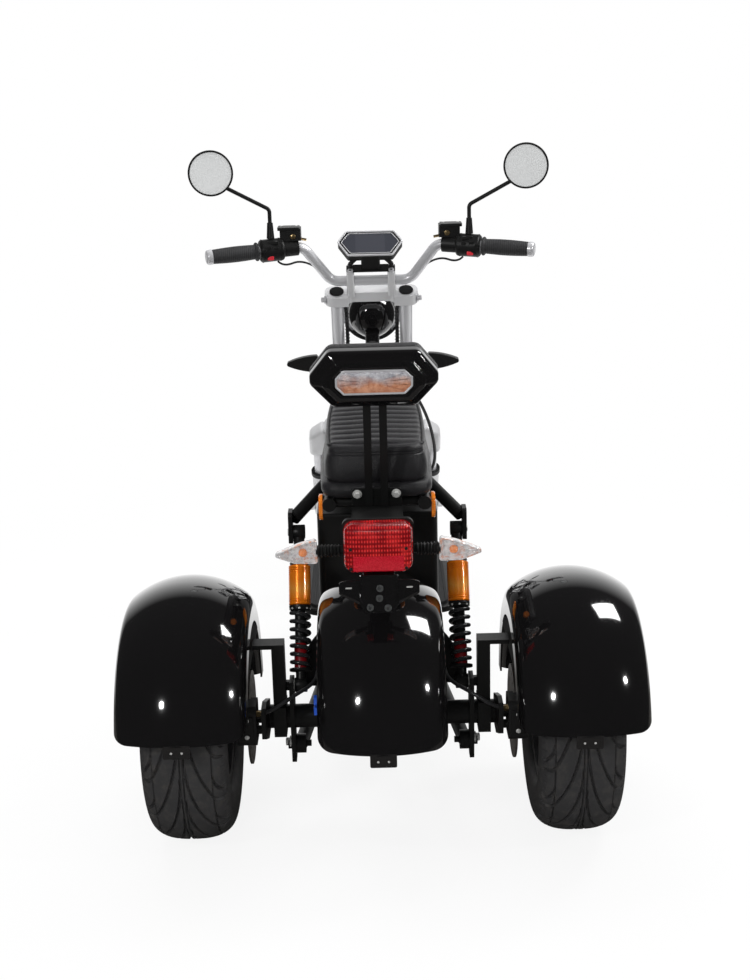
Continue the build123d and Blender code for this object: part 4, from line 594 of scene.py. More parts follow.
# Powder-coated steel, moulded plastic, dull moulding inside a mudguard, spring wire and a loom's sleeve
SATIN = plain("satin_black", grey(0.010), grey(0.005), 0.38, 0.16, 900.0, 0.00012, specular_ior_level=0.35)
PLASTIC = plain("black_plastic", grey(0.012), grey(0.006), 0.42, 0.14, 1500.0, 0.0001, specular_ior_level=0.4)
MATT_LIGHT = (0.022, 0.022, 0.021)
MATT = plain("matt_black", MATT_LIGHT, grey(0.012), 0.62, 0.12, 500.0, 0.0002, specular_ior_level=0.2)
SPRING = plain("spring_black", (0.020, 0.020, 0.021), (0.010, 0.010, 0.011), 0.22, 0.10, 700.0, 0.00006)
WRAP = plain("spiral_wrap", (0.022, 0.022, 0.023), (0.008, 0.008, 0.009), 0.34, 0.12, 500.0, 0.0002)
RUBBER = tyre_rubber()
COVER = leather()
CAST = cast_silver()
TUBE = silver_tube()
SLEEVE_RED = coloured_plastic("red_sleeve", (0.26, 0.006, 0.010))
CHROME = metal("chrome", (0.86, 0.87, 0.88), 0.07, 0.05)
STEEL = metal("zinc_steel", (0.70, 0.70, 0.68), 0.26, 0.14, metallic=0.45)
DARK_STEEL = metal("dark_steel", (0.11, 0.115, 0.115), 0.28, 0.12, metallic=0.5)
BRASS = metal("brass", (0.60, 0.44, 0.22), 0.32, 0.12)
ALLOY = rim_alloy()
ORANGE = anodised_orange()
RED = red_lens()
AMBER = amber_lens()
CLEAR = clear_lens()
# Reflector facets with painted glints; the second also has a painted reflection of the amber bulb
FACETS = facet_silver("facet_silver", 0.0)
BULB_REFLECTING_FACETS = facet_silver("facets_with_painted_bulb_reflection", 0.75)
GLOW = backrest_glow()
# Painted reflection on the mirror glass
MIRROR_REFLECTION = painted_mirror_reflection()
GRIP = grip_rubber()
MAT = mat_rubber()
SCREEN = screen_glass()
BUTTON = coloured_plastic("red_button", (0.80, 0.03, 0.05))
BLUE = coloured_plastic("blue_connector", (0.01, 0.11, 0.72))

# Nodes that show as they are; the others are replaced below
NODE_FINISH = {
    SATIN: "frame trailing_arms rear_axle drive_motor footboard backrest_bars tail_plate",
    PLASTIC: "rear_calipers battery_box tail_lamp_base fork_caps_and_seals front_caliper hand_controls "
    "mirrors display_case indicators_front",
    GLOSS: "headlamp_bucket",
    CAST: "fork_crown fork_sliders",
    TUBE: "fork_tubes handlebar",
    CHROME: "headlamp_rim",
    ALLOY: "rim_front rim_rear_left rim_rear_right",
    AMBER: "side_reflectors",
    FACETS: "headlamp_lens",
    MIRROR_REFLECTION: "mirror_glass",
    MAT: "floor_mat",
    SCREEN: "display_screen",
}
for finish, names in NODE_FINISH.items():
    for name in names.split():
        nodes[name].data.materials.clear()
        nodes[name].data.materials.append(finish)

# ---------------------------------------------------------------- wheels


def evenly(line, count):
    """A polyline's points respaced to equal steps along it."""
    line = np.asarray(line, float)
    far = np.concatenate([[0], np.cumsum(np.linalg.norm(np.diff(line, axis=0), axis=1))])
    want = np.linspace(0, far[-1], count)
    return np.column_stack([np.interp(want, far, line[:, k]) for k in range(line.shape[1])])


def step(value, start, end):
    """0 before start, 1 after end, and smooth between."""
    share = np.clip((value - start) / (end - start), 0, 1)
    return share * share * (3 - 2 * share)


BEAD_X, BEAD_R, WIDEST_R, TYRE_POWER = 0.0578, 0.1265, 0.166, 0.76
GROOVE_W, GROOVE_DEEP = 0.0038, 0.0045
SWEEPS = 15
# columns: where a groove starts and ends across the tread, its length round the tyre, its shift in sweeps
GROOVES = ((0.003, 0.074, 0.235, 0.0), (0.052, 0.0735, 0.045, 0.62))


def tread_depth(across, round_way, girth):
    """How deep the tread is cut: grooves that leave the middle along the tyre and sweep out to the shoulder.

    A groove's distance round the tyre grows with the root of its distance across, then hooks outwards at the
    shoulder; both sides are staggered.
    """
    pitch = girth / SWEEPS
    out = np.abs(across)
    stagger = np.where(across < 0, 0.5, 0.0)
    deep = np.zeros_like(across)
    for start, end, length, shift in GROOVES:
        share = np.clip((out - start) / (end - start), 1e-4, 1)
        hook = step(share, 0.70, 1.0)
        run = length * (share**0.5 - 0.10 * hook)
        slope = length * 0.5 * share**-0.5 / (end - start) * (1 - 0.9 * hook)
        off = (round_way - run - (shift + stagger) * pitch + pitch / 2) % pitch - pitch / 2
        near = np.abs(off) / np.sqrt(1 + slope**2)
        inside = step(out, start - 0.002, start + 0.001) * (1 - step(out, end - 0.004, end))
        deep = np.maximum(deep, inside * (1 - step(near, 0.35 * GROOVE_W, 0.6 * GROOVE_W)))
    tick = np.abs((round_way + 0.006) % 0.0145 - 0.00725)
    ticks = step(out, 0.0655, 0.0665) * (1 - step(out, 0.0715, 0.0725)) * (1 - step(tick, 0.0006, 0.0014))
    return np.maximum(deep * GROOVE_DEEP, ticks * 0.0012)


def tyre(node, body, rounds):
    """A balloon tyre: a flat-topped superellipse above the widest line, quarter ellipses below it."""
    low, high, hub = box_of(node)
    half, crown = (high[0] - low[0]) / 2, (high[2] - low[2]) / 2
    lean = np.linspace(0, pi, 2001)
    rise = WIDEST_R + (crown - WIDEST_R) * np.sin(lean) ** TYRE_POWER
    top = evenly(np.column_stack([-half * power(np.cos(lean), TYRE_POWER), rise]), 120)
    fall = np.linspace(0, pi / 2, 9)[1:]
    drop = WIDEST_R - (WIDEST_R - BEAD_R) * np.sin(fall)
    wall = np.column_stack([BEAD_X + (half - BEAD_X) * np.cos(fall), drop])
    section = np.concatenate([wall[::-1] * [-1, 1], top, wall])
    along = unit(np.gradient(section, axis=0))
    inward = np.column_stack([along[:, 1], -along[:, 0]])
    angle = np.linspace(0, 2 * pi, rounds, endpoint=False)
    across = np.broadcast_to(section[:, 0], (rounds, len(section)))
    deep = tread_depth(across, np.broadcast_to((angle * crown)[:, None], across.shape), 2 * pi * crown)
    deep *= step(section[:, 1], WIDEST_R + 0.004, WIDEST_R + 0.012)
    x = section[:, 0] + deep * inward[:, 0]
    r = section[:, 1] + deep * inward[:, 1]
    spoke = np.cos(angle)[:, None] * AHEAD + np.sin(angle)[:, None] * UP
    grid = hub + x[..., None] * ACROSS + r[..., None] * spoke[:, None]
    made = piece(node + "_tread", [(grid, True, True)], RUBBER, body, sharp=38)
    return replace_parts(made, node)


tyre("tyre_rear_right", "rear_right_wheel", 640)
tyre("tyre_rear_left", "rear_left_wheel", 640)
tyre("tyre_front", "front_wheel", 520)

# ---------------------------------------------------------------- mudguards

GUARD_WALL = 0.0035


def guard_section(half, top_r, crown_r, shoulder, low_r, count):
    """A mudguard across the wheel: straight sides, rounded shoulders and a gently crowned top."""
    rise = top_r - crown_r
    reach = half - shoulder
    lift = ((crown_r - shoulder) ** 2 - reach**2) ** 0.5
    meet = np.arctan2(lift, reach)
    round_over = np.linspace(0, meet, 24)
    crown = np.linspace(meet, pi / 2, 40)[1:]
    corner = [reach, rise + lift] + shoulder * on_circle(round_over)
    top = [0, rise] + crown_r * on_circle(crown)
    right = np.concatenate([[[half, low_r]], corner, top])
    return evenly(np.concatenate([right, right[-2::-1] * [-1, 1]]), count)


def guard(hub, half, top_r, crown_r, shoulder, depth, rear_deg, sweep_deg, corner, rows=120, columns=110):
    """A mudguard: its section carried round the wheel from the rear edge forward, as two skins a wall apart.

    The rear edge's corners are rounded by starting later, by a circle's depth, near the sides.
    """
    outer = guard_section(half, top_r, crown_r, shoulder, top_r - depth, columns)
    thinner = (size - GUARD_WALL for size in (half, top_r, crown_r, shoulder))
    inner = guard_section(*thinner, top_r - depth, columns)
    over = np.clip(np.abs(outer[:, 0]) - (half - corner), 0, corner)
    late = (corner - np.sqrt(corner**2 - over**2)) / top_r
    start, end = radians(rear_deg), radians(rear_deg + sweep_deg)
    share = np.linspace(0, 1, rows)[:, None] ** 1.25
    turn = (start + late)[None, :] * (1 - share) + (end - late)[None, :] * share
    spoke = -np.cos(turn)[..., None] * AHEAD + np.sin(turn)[..., None] * UP
    skins = [hub + s[:, 0, None] * ACROSS + s[:, 1, None] * spoke for s in (outer, inner)]
    shell = np.concatenate([skins[0], skins[1][:, ::-1]], 1)
    ends = [np.stack([skins[0][row], skins[1][row]], 1) for row in (0, -1)]
    return [(shell, False, True), (ends[0], False, False), (ends[1], False, False)]


def rivets(places, axis, radius, high):
    """Small domed heads: a turned quarter ellipse at each place."""
    lean = np.linspace(0, pi / 2, 7)
    dome = np.column_stack([high * np.sin(lean), radius * np.cos(lean)])
    dome = np.concatenate([[[-0.002, radius]], dome])
    return [turned(dome, place, axis, 16) for place in places]


def bolts(places, axis, across, high, washer=0.0):
    """Hexagon heads with a turned-down top edge, on round washers."""
    r = across / 2
    head = [(-0.003, r), (high * 0.82, r), (high, r * 0.86), (high, 0.0)]
    ring = [(-0.003, 1.45 * r), (washer, 1.45 * r), (washer, 0.0)]
    made = [turned(head, np.asarray(p) + washer * unit(axis), axis, 6) for p in places]
    return made + ([turned(ring, p, axis, 20) for p in places] if washer else [])


GUARD_HALF, GUARD_CORNER = 0.1138, 0.026
CENTRE_UP, CENTRE_AHEAD = -0.014, 0.030
TOP_R, DEPTH, CROWN_R, SHOULDER = 0.266, 0.092, 0.165, 0.034
SIDE_DEG, SIDE_SWEEP, CENTRE_DEG, CENTRE_SWEEP = 14.8, 170.0, 9.5, 106.0
TAB_W, TAB_H, TAB_T = 0.046, 0.022, 0.0025


def hung_tab(hub, rear_deg):
    """The tab under a mudguard's rear edge: a plate with rounded lower corners."""
    rear = radians(rear_deg)
    at = hub + np.array([0, -TOP_R * cos(rear) + GUARD_WALL / 2, TOP_R * sin(rear)])
    outline = rounded_outline(
        [(-TAB_W / 2, -TAB_H), (TAB_W / 2, -TAB_H), (TAB_W / 2, 0.004), (-TAB_W / 2, 0.004)], 0.003
    )
    plate = layered(outline, bevelled(TAB_T, 0.0005), at + TAB_T / 2 * AHEAD, ACROSS, UP)
    holes = [at + np.array([x, 0.0008 - TAB_T / 2, -TAB_H / 2]) for x in (-0.009, 0.009)]
    return plate, holes


def inner_panel(hub):
    """The flat panel inside a side mudguard: from a level chord up to the mudguard's edge, as two skins."""
    radius, chord = TOP_R - DEPTH + GUARD_WALL, 0.345 - hub[2]
    reach = (radius**2 - chord**2) ** 0.5
    y = reach * np.linspace(-1, 1, 40)[:, None] * 0.999
    z = chord + np.linspace(0, 1, 8)[None, :] * (np.sqrt(radius**2 - y**2) - chord)
    flat = hub + (GUARD_HALF * -np.sign(hub[0])) * ACROSS + y[..., None] * AHEAD + z[..., None] * UP
    back = flat + np.sign(hub[0]) * GUARD_WALL * ACROSS
    rim = np.concatenate([flat[:, :1], back[:, :1]], 1)
    return [(flat, False, False), (back, False, False), (rim, False, False)]


centre_hub = np.array([0, REAR_Y + CENTRE_AHEAD, rear_hub[2] + CENTRE_UP])
# columns: word in the names, middle, rear edge and sweep in degrees
GUARDS = (
    ("left", rear_hub * OTHER_SIDE, SIDE_DEG, SIDE_SWEEP),
    ("right", rear_hub, SIDE_DEG, SIDE_SWEEP),
    ("centre", centre_hub, CENTRE_DEG, CENTRE_SWEEP),
)
for word, hub, rear_deg, sweep_deg in GUARDS:
    plate, holes = hung_tab(hub, rear_deg)
    skins = guard(hub, GUARD_HALF, TOP_R, CROWN_R, SHOULDER, DEPTH, rear_deg, sweep_deg, GUARD_CORNER)
    made = piece(f"mudguard_{word}", skins + [plate], GLOSS, sharp=40, caps=False)
    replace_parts(made, f"mudguard_rear_{word}")
    if word != "centre":
        piece(f"mudguard_{word}_panel", inner_panel(hub), MATT, sharp=40, caps=False)
    piece(f"mudguard_{word}_rivets", rivets(holes, -AHEAD, 0.0028, 0.0012), STEEL)

FRONT_HALF, FRONT_R, FRONT_CROWN, FRONT_DEPTH = 0.1058, 0.250, 0.155, 0.088
FRONT_DEG, FRONT_SWEEP, FRONT_CORNER = 24.0, 122.0, 0.030
front_sizes = (FRONT_HALF, FRONT_R, FRONT_CROWN, SHOULDER, FRONT_DEPTH, FRONT_DEG, FRONT_SWEEP, FRONT_CORNER)
skins = guard(front_hub, *front_sizes, 90, 90)
fork_axes = [ACROSS, fork_ahead, fork_up]
ears = both_sides([block(on_fork(0.1125, 0, 0.205), (0.014, 0.026, 0.014), 0.15, fork_axes, (10, 24))])
made = piece("mudguard_front_skin", skins + ears, GLOSS, "steering", sharp=40, caps=False)
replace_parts(made, "mudguard_front")

# ---------------------------------------------------------------- cords


def route(name, points, radius):
    """An open NURBS line of order 3 with a route's points as its control points, as thick as its radius."""
    curve = bpy.data.curves.new(name, "CURVE")
    curve.dimensions, curve.use_fill_caps = "3D", True
    curve.resolution_u, curve.bevel_depth, curve.bevel_resolution = 12, radius, 3
    line = curve.splines.new("NURBS")
    line.points.add(len(points) - 1)
    line.points.foreach_set("co", np.column_stack([points, np.ones(len(points))]).ravel())
    line.order_u, line.use_endpoint_u = 3, True
    return bpy.data.objects.new(name, curve)


def followed(points):
    """Points read along the NURBS line of a route."""
    guide = route("guide", points, 0.0)
    mesh = bpy.data.meshes.new_from_object(guide)
    read = np.empty(3 * len(mesh.vertices))
    mesh.vertices.foreach_get("co", read)
    line = guide.data
    bpy.data.objects.remove(guide)
    bpy.data.curves.remove(line)
    bpy.data.meshes.remove(mesh)
    return read.reshape(-1, 3)


def cable(name, points, radius, body, finish):
    """A cord along a route; the length that its line measures is worked out."""
    points = np.asarray(points, float)
    thing = route(name, points, radius)
    thing.data.materials.append(finish)
    scene.collection.objects.link(thing)
    length = np.linalg.norm(np.diff(followed(points), axis=0), axis=1).sum()
    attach(thing, body)
    return thing


def coiled(line, radius, pitch, wire, steps=14, grain=8):
    """A wire wound round a line: a helix in the line's own frames, a turn each pitch."""
    far = np.linalg.norm(np.diff(line, axis=0), axis=1).sum()
    path = evenly(line, int(far / pitch * steps))
    ahead, side, other = frames(path)
    angle = np.linspace(0, 2 * pi * far / pitch, len(path))[:, None]
    return carried(round_section(wire, grain), path + radius * (np.cos(angle) * side + np.sin(angle) * other))


def along_bar(x):
    """A place on the right outer run of the handlebar, x from the middle."""
    share = (x - BAR_BEND[0]) / (BAR_END[0] - BAR_BEND[0])
    return BAR_BEND + share * (BAR_END - BAR_BEND)


BAR_BEND = np.array([0.156, front_hub[1] - 0.364, 0.957])
BAR_END = np.array([0.360, front_hub[1] - 0.428, 0.947])
bar_run = unit(BAR_END - BAR_BEND)

loom_top = on_fork(0.084, 0.046, 0.700)
lead_points = np.array([
    along_bar(0.214) + [0, 0.004, -0.0272],
    along_bar(0.214) + [-0.012, 0.005, -0.0412],
    along_bar(0.158) + [0, 0.012, -0.031],
    on_fork(0.104, 0.034, 0.728),
    loom_top,
])
loom_points = np.array([
    loom_top,
    on_fork(0.060, 0.040, 0.640),
    on_fork(0.060, -0.018, 0.590),
    on_fork(0.060, -0.020, 0.5142),
])
for word, side in (("right", 1.0), ("left", OTHER_SIDE)):
    line = followed(loom_points * side)
    wrap = piece(f"loom_wrap_{word}", [coiled(line, 0.0046, 0.0085, 0.0013)], WRAP, "steering")
    lead = cable(f"bar_lead_{word}", lead_points * side, 0.0024, "steering", WRAP)
    loom = cable(f"fork_loom_{word}", loom_points * side, 0.0043, "steering", PLASTIC)
    for made in (lead, loom):
        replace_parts(made, "cables")
hose_points = [(0.090, -0.042, 0.4898), (0.090, -0.042, 0.446), (0.142, -0.040, 0.318)]
hose_points += [(0.160, -0.038, 0.170), (0.112, -0.066, 0.1362), (0.112, -0.066, 0.0962)]
hose = cable("front_hose", [on_fork(*p) for p in hose_points], 0.004, "steering", WRAP)
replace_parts(hose, "cables")

# ---------------------------------------------------------------- seat

SEAT_FROM, SEAT_TO = REAR_Y + 0.022, REAR_Y + 0.632
PAN_Z, SEAT_LOW, SEAT_TOP = 0.6290, 0.6565, 0.7266
RIBS, RIB_HIGH, PANEL_IN = 16, 0.0092, 0.026


def seat_half(share):
    """Half the seat's width at a share of its length: widest before the middle, narrow at the nose."""
    return 0.095 + 0.037 * share - 0.058 * share**2


def seat_outline(grow):
    """The seat from above: its two sides, and corners rounded at the back and the nose."""
    share = np.concatenate([[0], np.linspace(0.09, 0.91, 9), [1]])
    right = np.column_stack([seat_half(share) + grow, SEAT_FROM + share * (SEAT_TO - SEAT_FROM)])
    right[0, 1] -= grow
    right[-1, 1] += grow
    radii = np.full(len(share), 0.004)
    radii[0], radii[-1] = 0.034, 0.040
    return rounded_outline(with_mirror(right), np.concatenate([radii, radii[::-1]]), 9)


def seat_body():
    """The foam block: sides that lean in and belly out, and a rolled top edge above a sewn groove."""
    high = SEAT_TOP - SEAT_LOW - 0.005
    roll = 0.0115
    seam = high - roll
    up = np.concatenate([np.linspace(0, seam - 0.009, 12), np.linspace(seam - 0.0075, seam, 11)])
    crease = 0.0012 * np.exp(-(((seam - 0.0048 - up) / 0.0011) ** 2))
    belly = 0.0035 * np.sin(pi * np.clip(up / seam, 0, 1)) - crease
    wall = np.column_stack([0.004 * (1 - step(up, 0, 0.008)) + 0.12 * up - belly, up])
    groove = [(wall[-1, 0] + 0.0022, seam + 0.0008), (wall[-1, 0] + 0.0004, seam + 0.0022)]
    lean = np.linspace(0.1, pi / 2, 10)
    edge = np.column_stack([wall[-1, 0] + roll * (1 - np.cos(lean)), seam + roll * np.sin(lean)])
    layers = np.concatenate([wall, groove, edge, [[0.030, high + 0.0004]]])
    return layered(seat_outline(-0.005), layers, (0, 0, SEAT_LOW), ACROSS, AHEAD)


def ribbed_panel():
    """The quilted top: rolls that run across, each a flattened arch between deep sewn creases.

    Carried along the seat as a closed section, crowned across and thinned towards its sides.
    """
    rows, columns = 16 * RIBS, 41
    along = np.linspace(0, 1, rows)[:, None]
    s = np.linspace(-1, 1, columns)[None, :]
    y = SEAT_FROM + PANEL_IN + along * (SEAT_TO - SEAT_FROM - 2 * PANEL_IN)
    half = seat_half((y - SEAT_FROM) / (SEAT_TO - SEAT_FROM)) - 0.012
    half = half - 0.010 * (1 - step(along, 0, 0.03)) - 0.012 * step(along, 0.96, 1)
    phase = (along * RIBS) % 1
    arch = (1 - np.abs(2 * phase - 1) ** 2.2) ** 0.55
    pinch = 1 - np.abs(s) ** 30
    top = SEAT_TOP - 0.0060 + (RIB_HIGH * arch - 0.0020) * pinch - 0.005 * s**2 - 0.003 * (1 - pinch)
    upper = np.stack([half * s, y + 0 * s, top], -1)
    lower = np.stack([half * s, y + 0 * s, 0 * top + SEAT_TOP - 0.020], -1)
    return np.concatenate([upper, lower[:, ::-1]], 1), False, True


def panel_piping():
    """The corded edge round the quilted top."""
    share = np.linspace(0.055, 0.945, 40)
    right = np.column_stack([seat_half(share) - 0.0120, SEAT_FROM + share * (SEAT_TO - SEAT_FROM)])
    radii = [0.012] + 78 * [0.002] + [0.012]
    loop = rounded_outline(with_mirror(right), radii, 5)
    path = np.column_stack([loop, np.full(len(loop), SEAT_TOP - 0.0085)])
    return carried(round_section(0.0030, 8), evenly(np.concatenate([path, path[:1]]), 260)[:-1], True)


def pan_lip():
    """The rolled lip under the cushion: a band whose edge is half an ellipse, standing a little proud."""
    lean = np.linspace(-pi / 2, pi / 2, 15)
    layers = np.column_stack([0.0070 - 0.0105 * np.cos(lean), 0.0138 + 0.0138 * np.sin(lean)])
    return layered(seat_outline(0.0), layers, (0, 0, PAN_Z), ACROSS, AHEAD)


body = piece("seat_body", [seat_body()], COVER)
panel = piece("seat_panel", [ribbed_panel()], COVER, sharp=75)
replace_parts(body, "seat_cushion")
piece("seat_piping", [panel_piping()], COVER)
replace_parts(piece("seat_lip", [pan_lip()], COVER), "seat_pan")

# ---------------------------------------------------------------- backrest

LEAN = radians(9.0)
back_up = np.array([0, -sin(LEAN), cos(LEAN)])
back_rear = np.array([0, -cos(LEAN), -sin(LEAN)])
back_foot = np.array([0, REAR_Y + 0.006, 0.6065])


def on_back(across, up, rear):
    """A place on the backrest: across, up its bars, and behind their front face."""
    return back_foot + across * ACROSS + up * back_up + rear * back_rear


def eight_sided(high, top, waist, tip, low):
    """Corners of a long eight-sided outline: top half width, tip half height, low half width."""
    return with_mirror([(low, -high), (waist, -tip), (waist, tip), (top, high)])


def between(outer, inner, layers, centre):
    """A skin between two matched outlines, by layers of (share towards the inner one, height)."""
    share, height = np.asarray(layers, float).T
    flat = outer[None] * (1 - share[:, None, None]) + inner[None] * share[:, None, None]
    back, middle = (ring.mean(1, keepdims=True).repeat(len(outer), 1) for ring in (flat[:1], flat[-1:]))
    flat = np.concatenate([back, flat, middle])
    height = np.concatenate([height[:1], height, height[-1:]])
    return raised(flat, height, centre, ACROSS, back_up)


SHELL_UP = 0.263
SHELL_CORNERS = [0.016, 0.012, 0.012, 0.016] * 2
shell_outer = rounded_outline(eight_sided(0.050, 0.077, 0.110, 0.008, 0.072), SHELL_CORNERS, 8)
shell_inner = rounded_outline(eight_sided(0.0235, 0.054, 0.068, 0.0085, 0.054), 0.003, 8)
lens_line = rounded_outline(eight_sided(0.0205, 0.0515, 0.064, 0.0075, 0.0515), 0.003, 8)
shell_layers = [(0.0, 0.0003), (0.0, 0.012)]
shell_layers += [(0.16 * (1 - cos(a)), 0.012 + 0.011 * sin(a)) for a in np.linspace(0, pi / 2, 8)[1:]]
shell_layers += [(0.17, 0.0232), (0.50, 0.0285), (0.52, 0.0292), (0.55, 0.0320), (0.57, 0.0330)]
shell_layers += [(0.60, 0.0335), (0.93, 0.0342), (0.98, 0.0338), (1.0, 0.0328), (1.0, 0.0270)]
shell = between(shell_outer, shell_inner, shell_layers, on_back(0, SHELL_UP, 0))
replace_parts(piece("backrest_back", [shell], GLOSS, sharp=32), "backrest_shell")


def lens_frame():
    """The bright frame round the backrest's lamp: a flattened bead carried along the lens's edge."""
    path = on_back(0, SHELL_UP, 0.0338) + lens_line[:, :1] * ACROSS + lens_line[:, 1:] * back_up
    return carried(round_section(0.0021, 8), path, True)


glow_layers = [(0.0, 0.0), (0.0, 0.0055), (0.0018, 0.0072), (0.006, 0.0078)]
glow = layered(lens_line, glow_layers, on_back(0, SHELL_UP, 0.0272), ACROSS, back_up)
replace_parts(piece("backrest_lamp", [glow], GLOW), "backrest_lens")
piece("backrest_lamp_frame", [lens_frame()], TUBE)

pad_layers = [(0.02, 0.0), (0.0, 0.002), (0.0, 0.018)]
pad_layers += [(0.10 * (1 - cos(a)), 0.018 + 0.0095 * sin(a)) for a in np.linspace(0, pi / 2, 10)[1:]]
pad_layers += [(0.25, 0.0290), (0.5, 0.0298)]
pad = domed(shell_outer, pad_layers, on_back(0, SHELL_UP, -0.0004), -ACROSS, back_up)
pad = piece("backrest_cushion", [pad], COVER)
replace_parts(pad, "backrest_pad")


def boxed(half_x, half_z, corner):
    """A flat box outline with rounded corners."""
    corners = np.roll(with_mirror([(half_x, -half_z), (half_x, half_z)]), 1, 0)
    return rounded_outline(corners, corner, 8)


ears_at = on_back(0, 0.0335, 0.0006)
ears = layered(boxed(0.0445, 0.0170, 0.006), bevelled(0.0045, 0.001), ears_at, ACROSS, back_up)
piece("backrest_ears", [ears], SATIN)
foot_bolts = [on_back(x, 0.0405, 0.0051) for x in (-0.0345, 0.0345)]
piece("backrest_bolts", bolts(foot_bolts, back_rear, 0.0115, 0.007, 0.0014), STEEL)

# ---------------------------------------------------------------- tail lamp, plate bracket and indicators

lamp_half = (lamp_high - lamp_low) / 2
lamp_deep = 2 * lamp_half[1]
lamp_layers = [(0.0, 0.0), (0.0, 0.006), (0.010, 0.0062), (0.018, 0.010)]
for lean in np.linspace(0, pi / 2, 8):
    lamp_layers += [(0.018 + 0.13 * (1 - cos(lean)), lamp_deep - 0.0125 + 0.0095 * sin(lean))]
lamp_layers += [(0.25, lamp_deep - 0.0020), (0.45, lamp_deep - 0.0010), (0.7, lamp_deep - 0.0003)]
lamp_back = lamp_mid + [0, lamp_half[1], 0]
lens = domed(boxed(lamp_half[0], lamp_half[2], 0.017), lamp_layers, lamp_back, ACROSS, UP)
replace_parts(piece("tail_lens", [lens], RED), "tail_lamp_lens")
SCREW_SHARES = [(x, z) for x in (-0.8, 0.8) for z in (0.0, -0.8)]
screws = [lamp_mid + [x * lamp_half[0], 0.0022 - lamp_half[1], z * lamp_half[2]] for x, z in SCREW_SHARES]
piece("tail_lens_screws", rivets(screws, -AHEAD, 0.0030, 0.0016), PLASTIC)

bracket_low, bracket_high, bracket_mid = box_of("plate_bracket")
HOLDER_LOW, HOLDER_HIGH = bracket_low[2] - 0.002, bracket_high[2]
HOLDER_RIGHT = [(0.026, HOLDER_LOW), (0.033, HOLDER_LOW + 0.016), (0.033, HOLDER_HIGH)]
holder = rounded_outline(np.roll(with_mirror(HOLDER_RIGHT), 1, 0), 0.0035, 6) - [0, bracket_mid[2]]
holder_face = [(0.0, 0.0), (0.0, 0.0042), (0.025, 0.0050), (0.07, 0.0050), (0.10, 0.0038), (0.5, 0.0036)]
holder_at = np.array([0, bracket_low[1] + 0.0048, bracket_mid[2]])
holder = domed(holder, holder_face, holder_at, ACROSS, UP)
wing_tip = bracket_high[0]
wing = [(0.030, 0.486), (wing_tip, 0.507), (wing_tip, 0.5285), (wing_tip - 0.012, 0.5315), (0.030, 0.5325)]
wing = rounded_outline(wing, [0.001, 0.004, 0.004, 0.004, 0.001], 5)
wing = layered(wing, bevelled(0.0028, 0.0006), (0, bracket_low[1] + 0.0055, 0), ACROSS, UP)
strap = [0, (bracket_low[1] + bracket_high[1]) / 2 + 0.001, HOLDER_HIGH - 0.002]
strap = block(strap, (0.054, bracket_high[1] - bracket_low[1] - 0.004, 0.0036), 0.15)
holder = piece("plate_holder", [holder, strap] + both_sides([wing]), GLOSS, sharp=35)
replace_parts(holder, "plate_bracket")
slots = [block((0.052, bracket_low[1] + 0.0026, 0.5185), (0.0110, 0.0012, 0.0028), 0.4)]
piece("holder_slots", both_sides(slots), STEEL)
BRACKET_BOLTS = ((0.001, 0.518), (0, 0.5), (-0.016, 0.4835), (0.0145, 0.482))
COLLAR = [(-0.002, 0.0062), (0.0028, 0.0062), (0.0034, 0.0056), (0.0034, 0.0034)]
COLLAR += [(0.0006, 0.0030), (0.0006, 0.0)]
collars = [turned(COLLAR, (x, bracket_low[1] + 0.0014, z), -AHEAD, 24) for x, z in BRACKET_BOLTS]
piece("bracket_bolts", collars, DARK_STEEL)

leaf_low, leaf_high, leaf_mid = box_of("indicator_lenses_rear")
LEAF_ROOT, LEAF_TIP, LEAF_Z, LEAF_T = 0.1045, leaf_high[0] + 0.008, leaf_mid[2], 0.022
leaf_rear = leaf_low[1]
leaf = rounded_outline(
    [(0.0, -0.0215), (0.040, -0.0205), (LEAF_TIP - LEAF_ROOT, -0.005), (0.030, 0.0150), (0.0015, 0.0218)],
    [0.0050, 0.012, 0.0045, 0.014, 0.0045], 8,
)
leaf_place = np.array([LEAF_ROOT, leaf_rear + LEAF_T, LEAF_Z])
bowl = [(0.12, 0.0), (0.02, 0.004), (0.0, 0.010), (0.0, 0.0175), (0.03, 0.0190), (0.11, 0.0190)]
bowl = domed(leaf, bowl + [(0.14, 0.0165), (0.32, 0.0085)], leaf_place, ACROSS, UP)
cover = [(0.13, 0.0150), (0.12, 0.0192), (0.16, 0.0206), (0.30, 0.0214), (0.5, 0.0217)]
cover = domed(leaf, cover, leaf_place, ACROSS, UP)
bulb = block(leaf_place + [0.026, -0.0135, -0.0020], (0.015, 0.011, 0.015), 0.9)
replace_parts(piece("indicator_bowls", both_sides([bowl]), BULB_REFLECTING_FACETS), "indicator_lenses_rear")
piece("indicator_covers", both_sides([cover]), CLEAR)
piece("indicator_bulbs", both_sides([bulb]), AMBER)
folds = np.linspace(0, 1, 61)
bellows = 0.0098 + 0.0016 * np.sin(2 * pi * 7 * folds) + 0.001 * (folds - 0.5)
bellows = np.column_stack([0.0665 + 0.041 * folds, bellows])
stalk_at = np.array([0, leaf_mid[1], LEAF_Z])
piece("indicator_bellows", both_sides([turned(bellows, stalk_at, ACROSS, 28)]), PLASTIC)

# ---------------------------------------------------------------- shock absorbers

shock_foot = np.array([0.148, REAR_Y, 0.280])
shock_head = np.array([0.148, REAR_Y + 0.140, 0.530])
shock_axis = unit(shock_head - shock_foot)
shock_side, shock_other = frame_for(shock_axis)


def on_shock(along):
    """A place up the right shock absorber."""
    return shock_foot + along * shock_axis


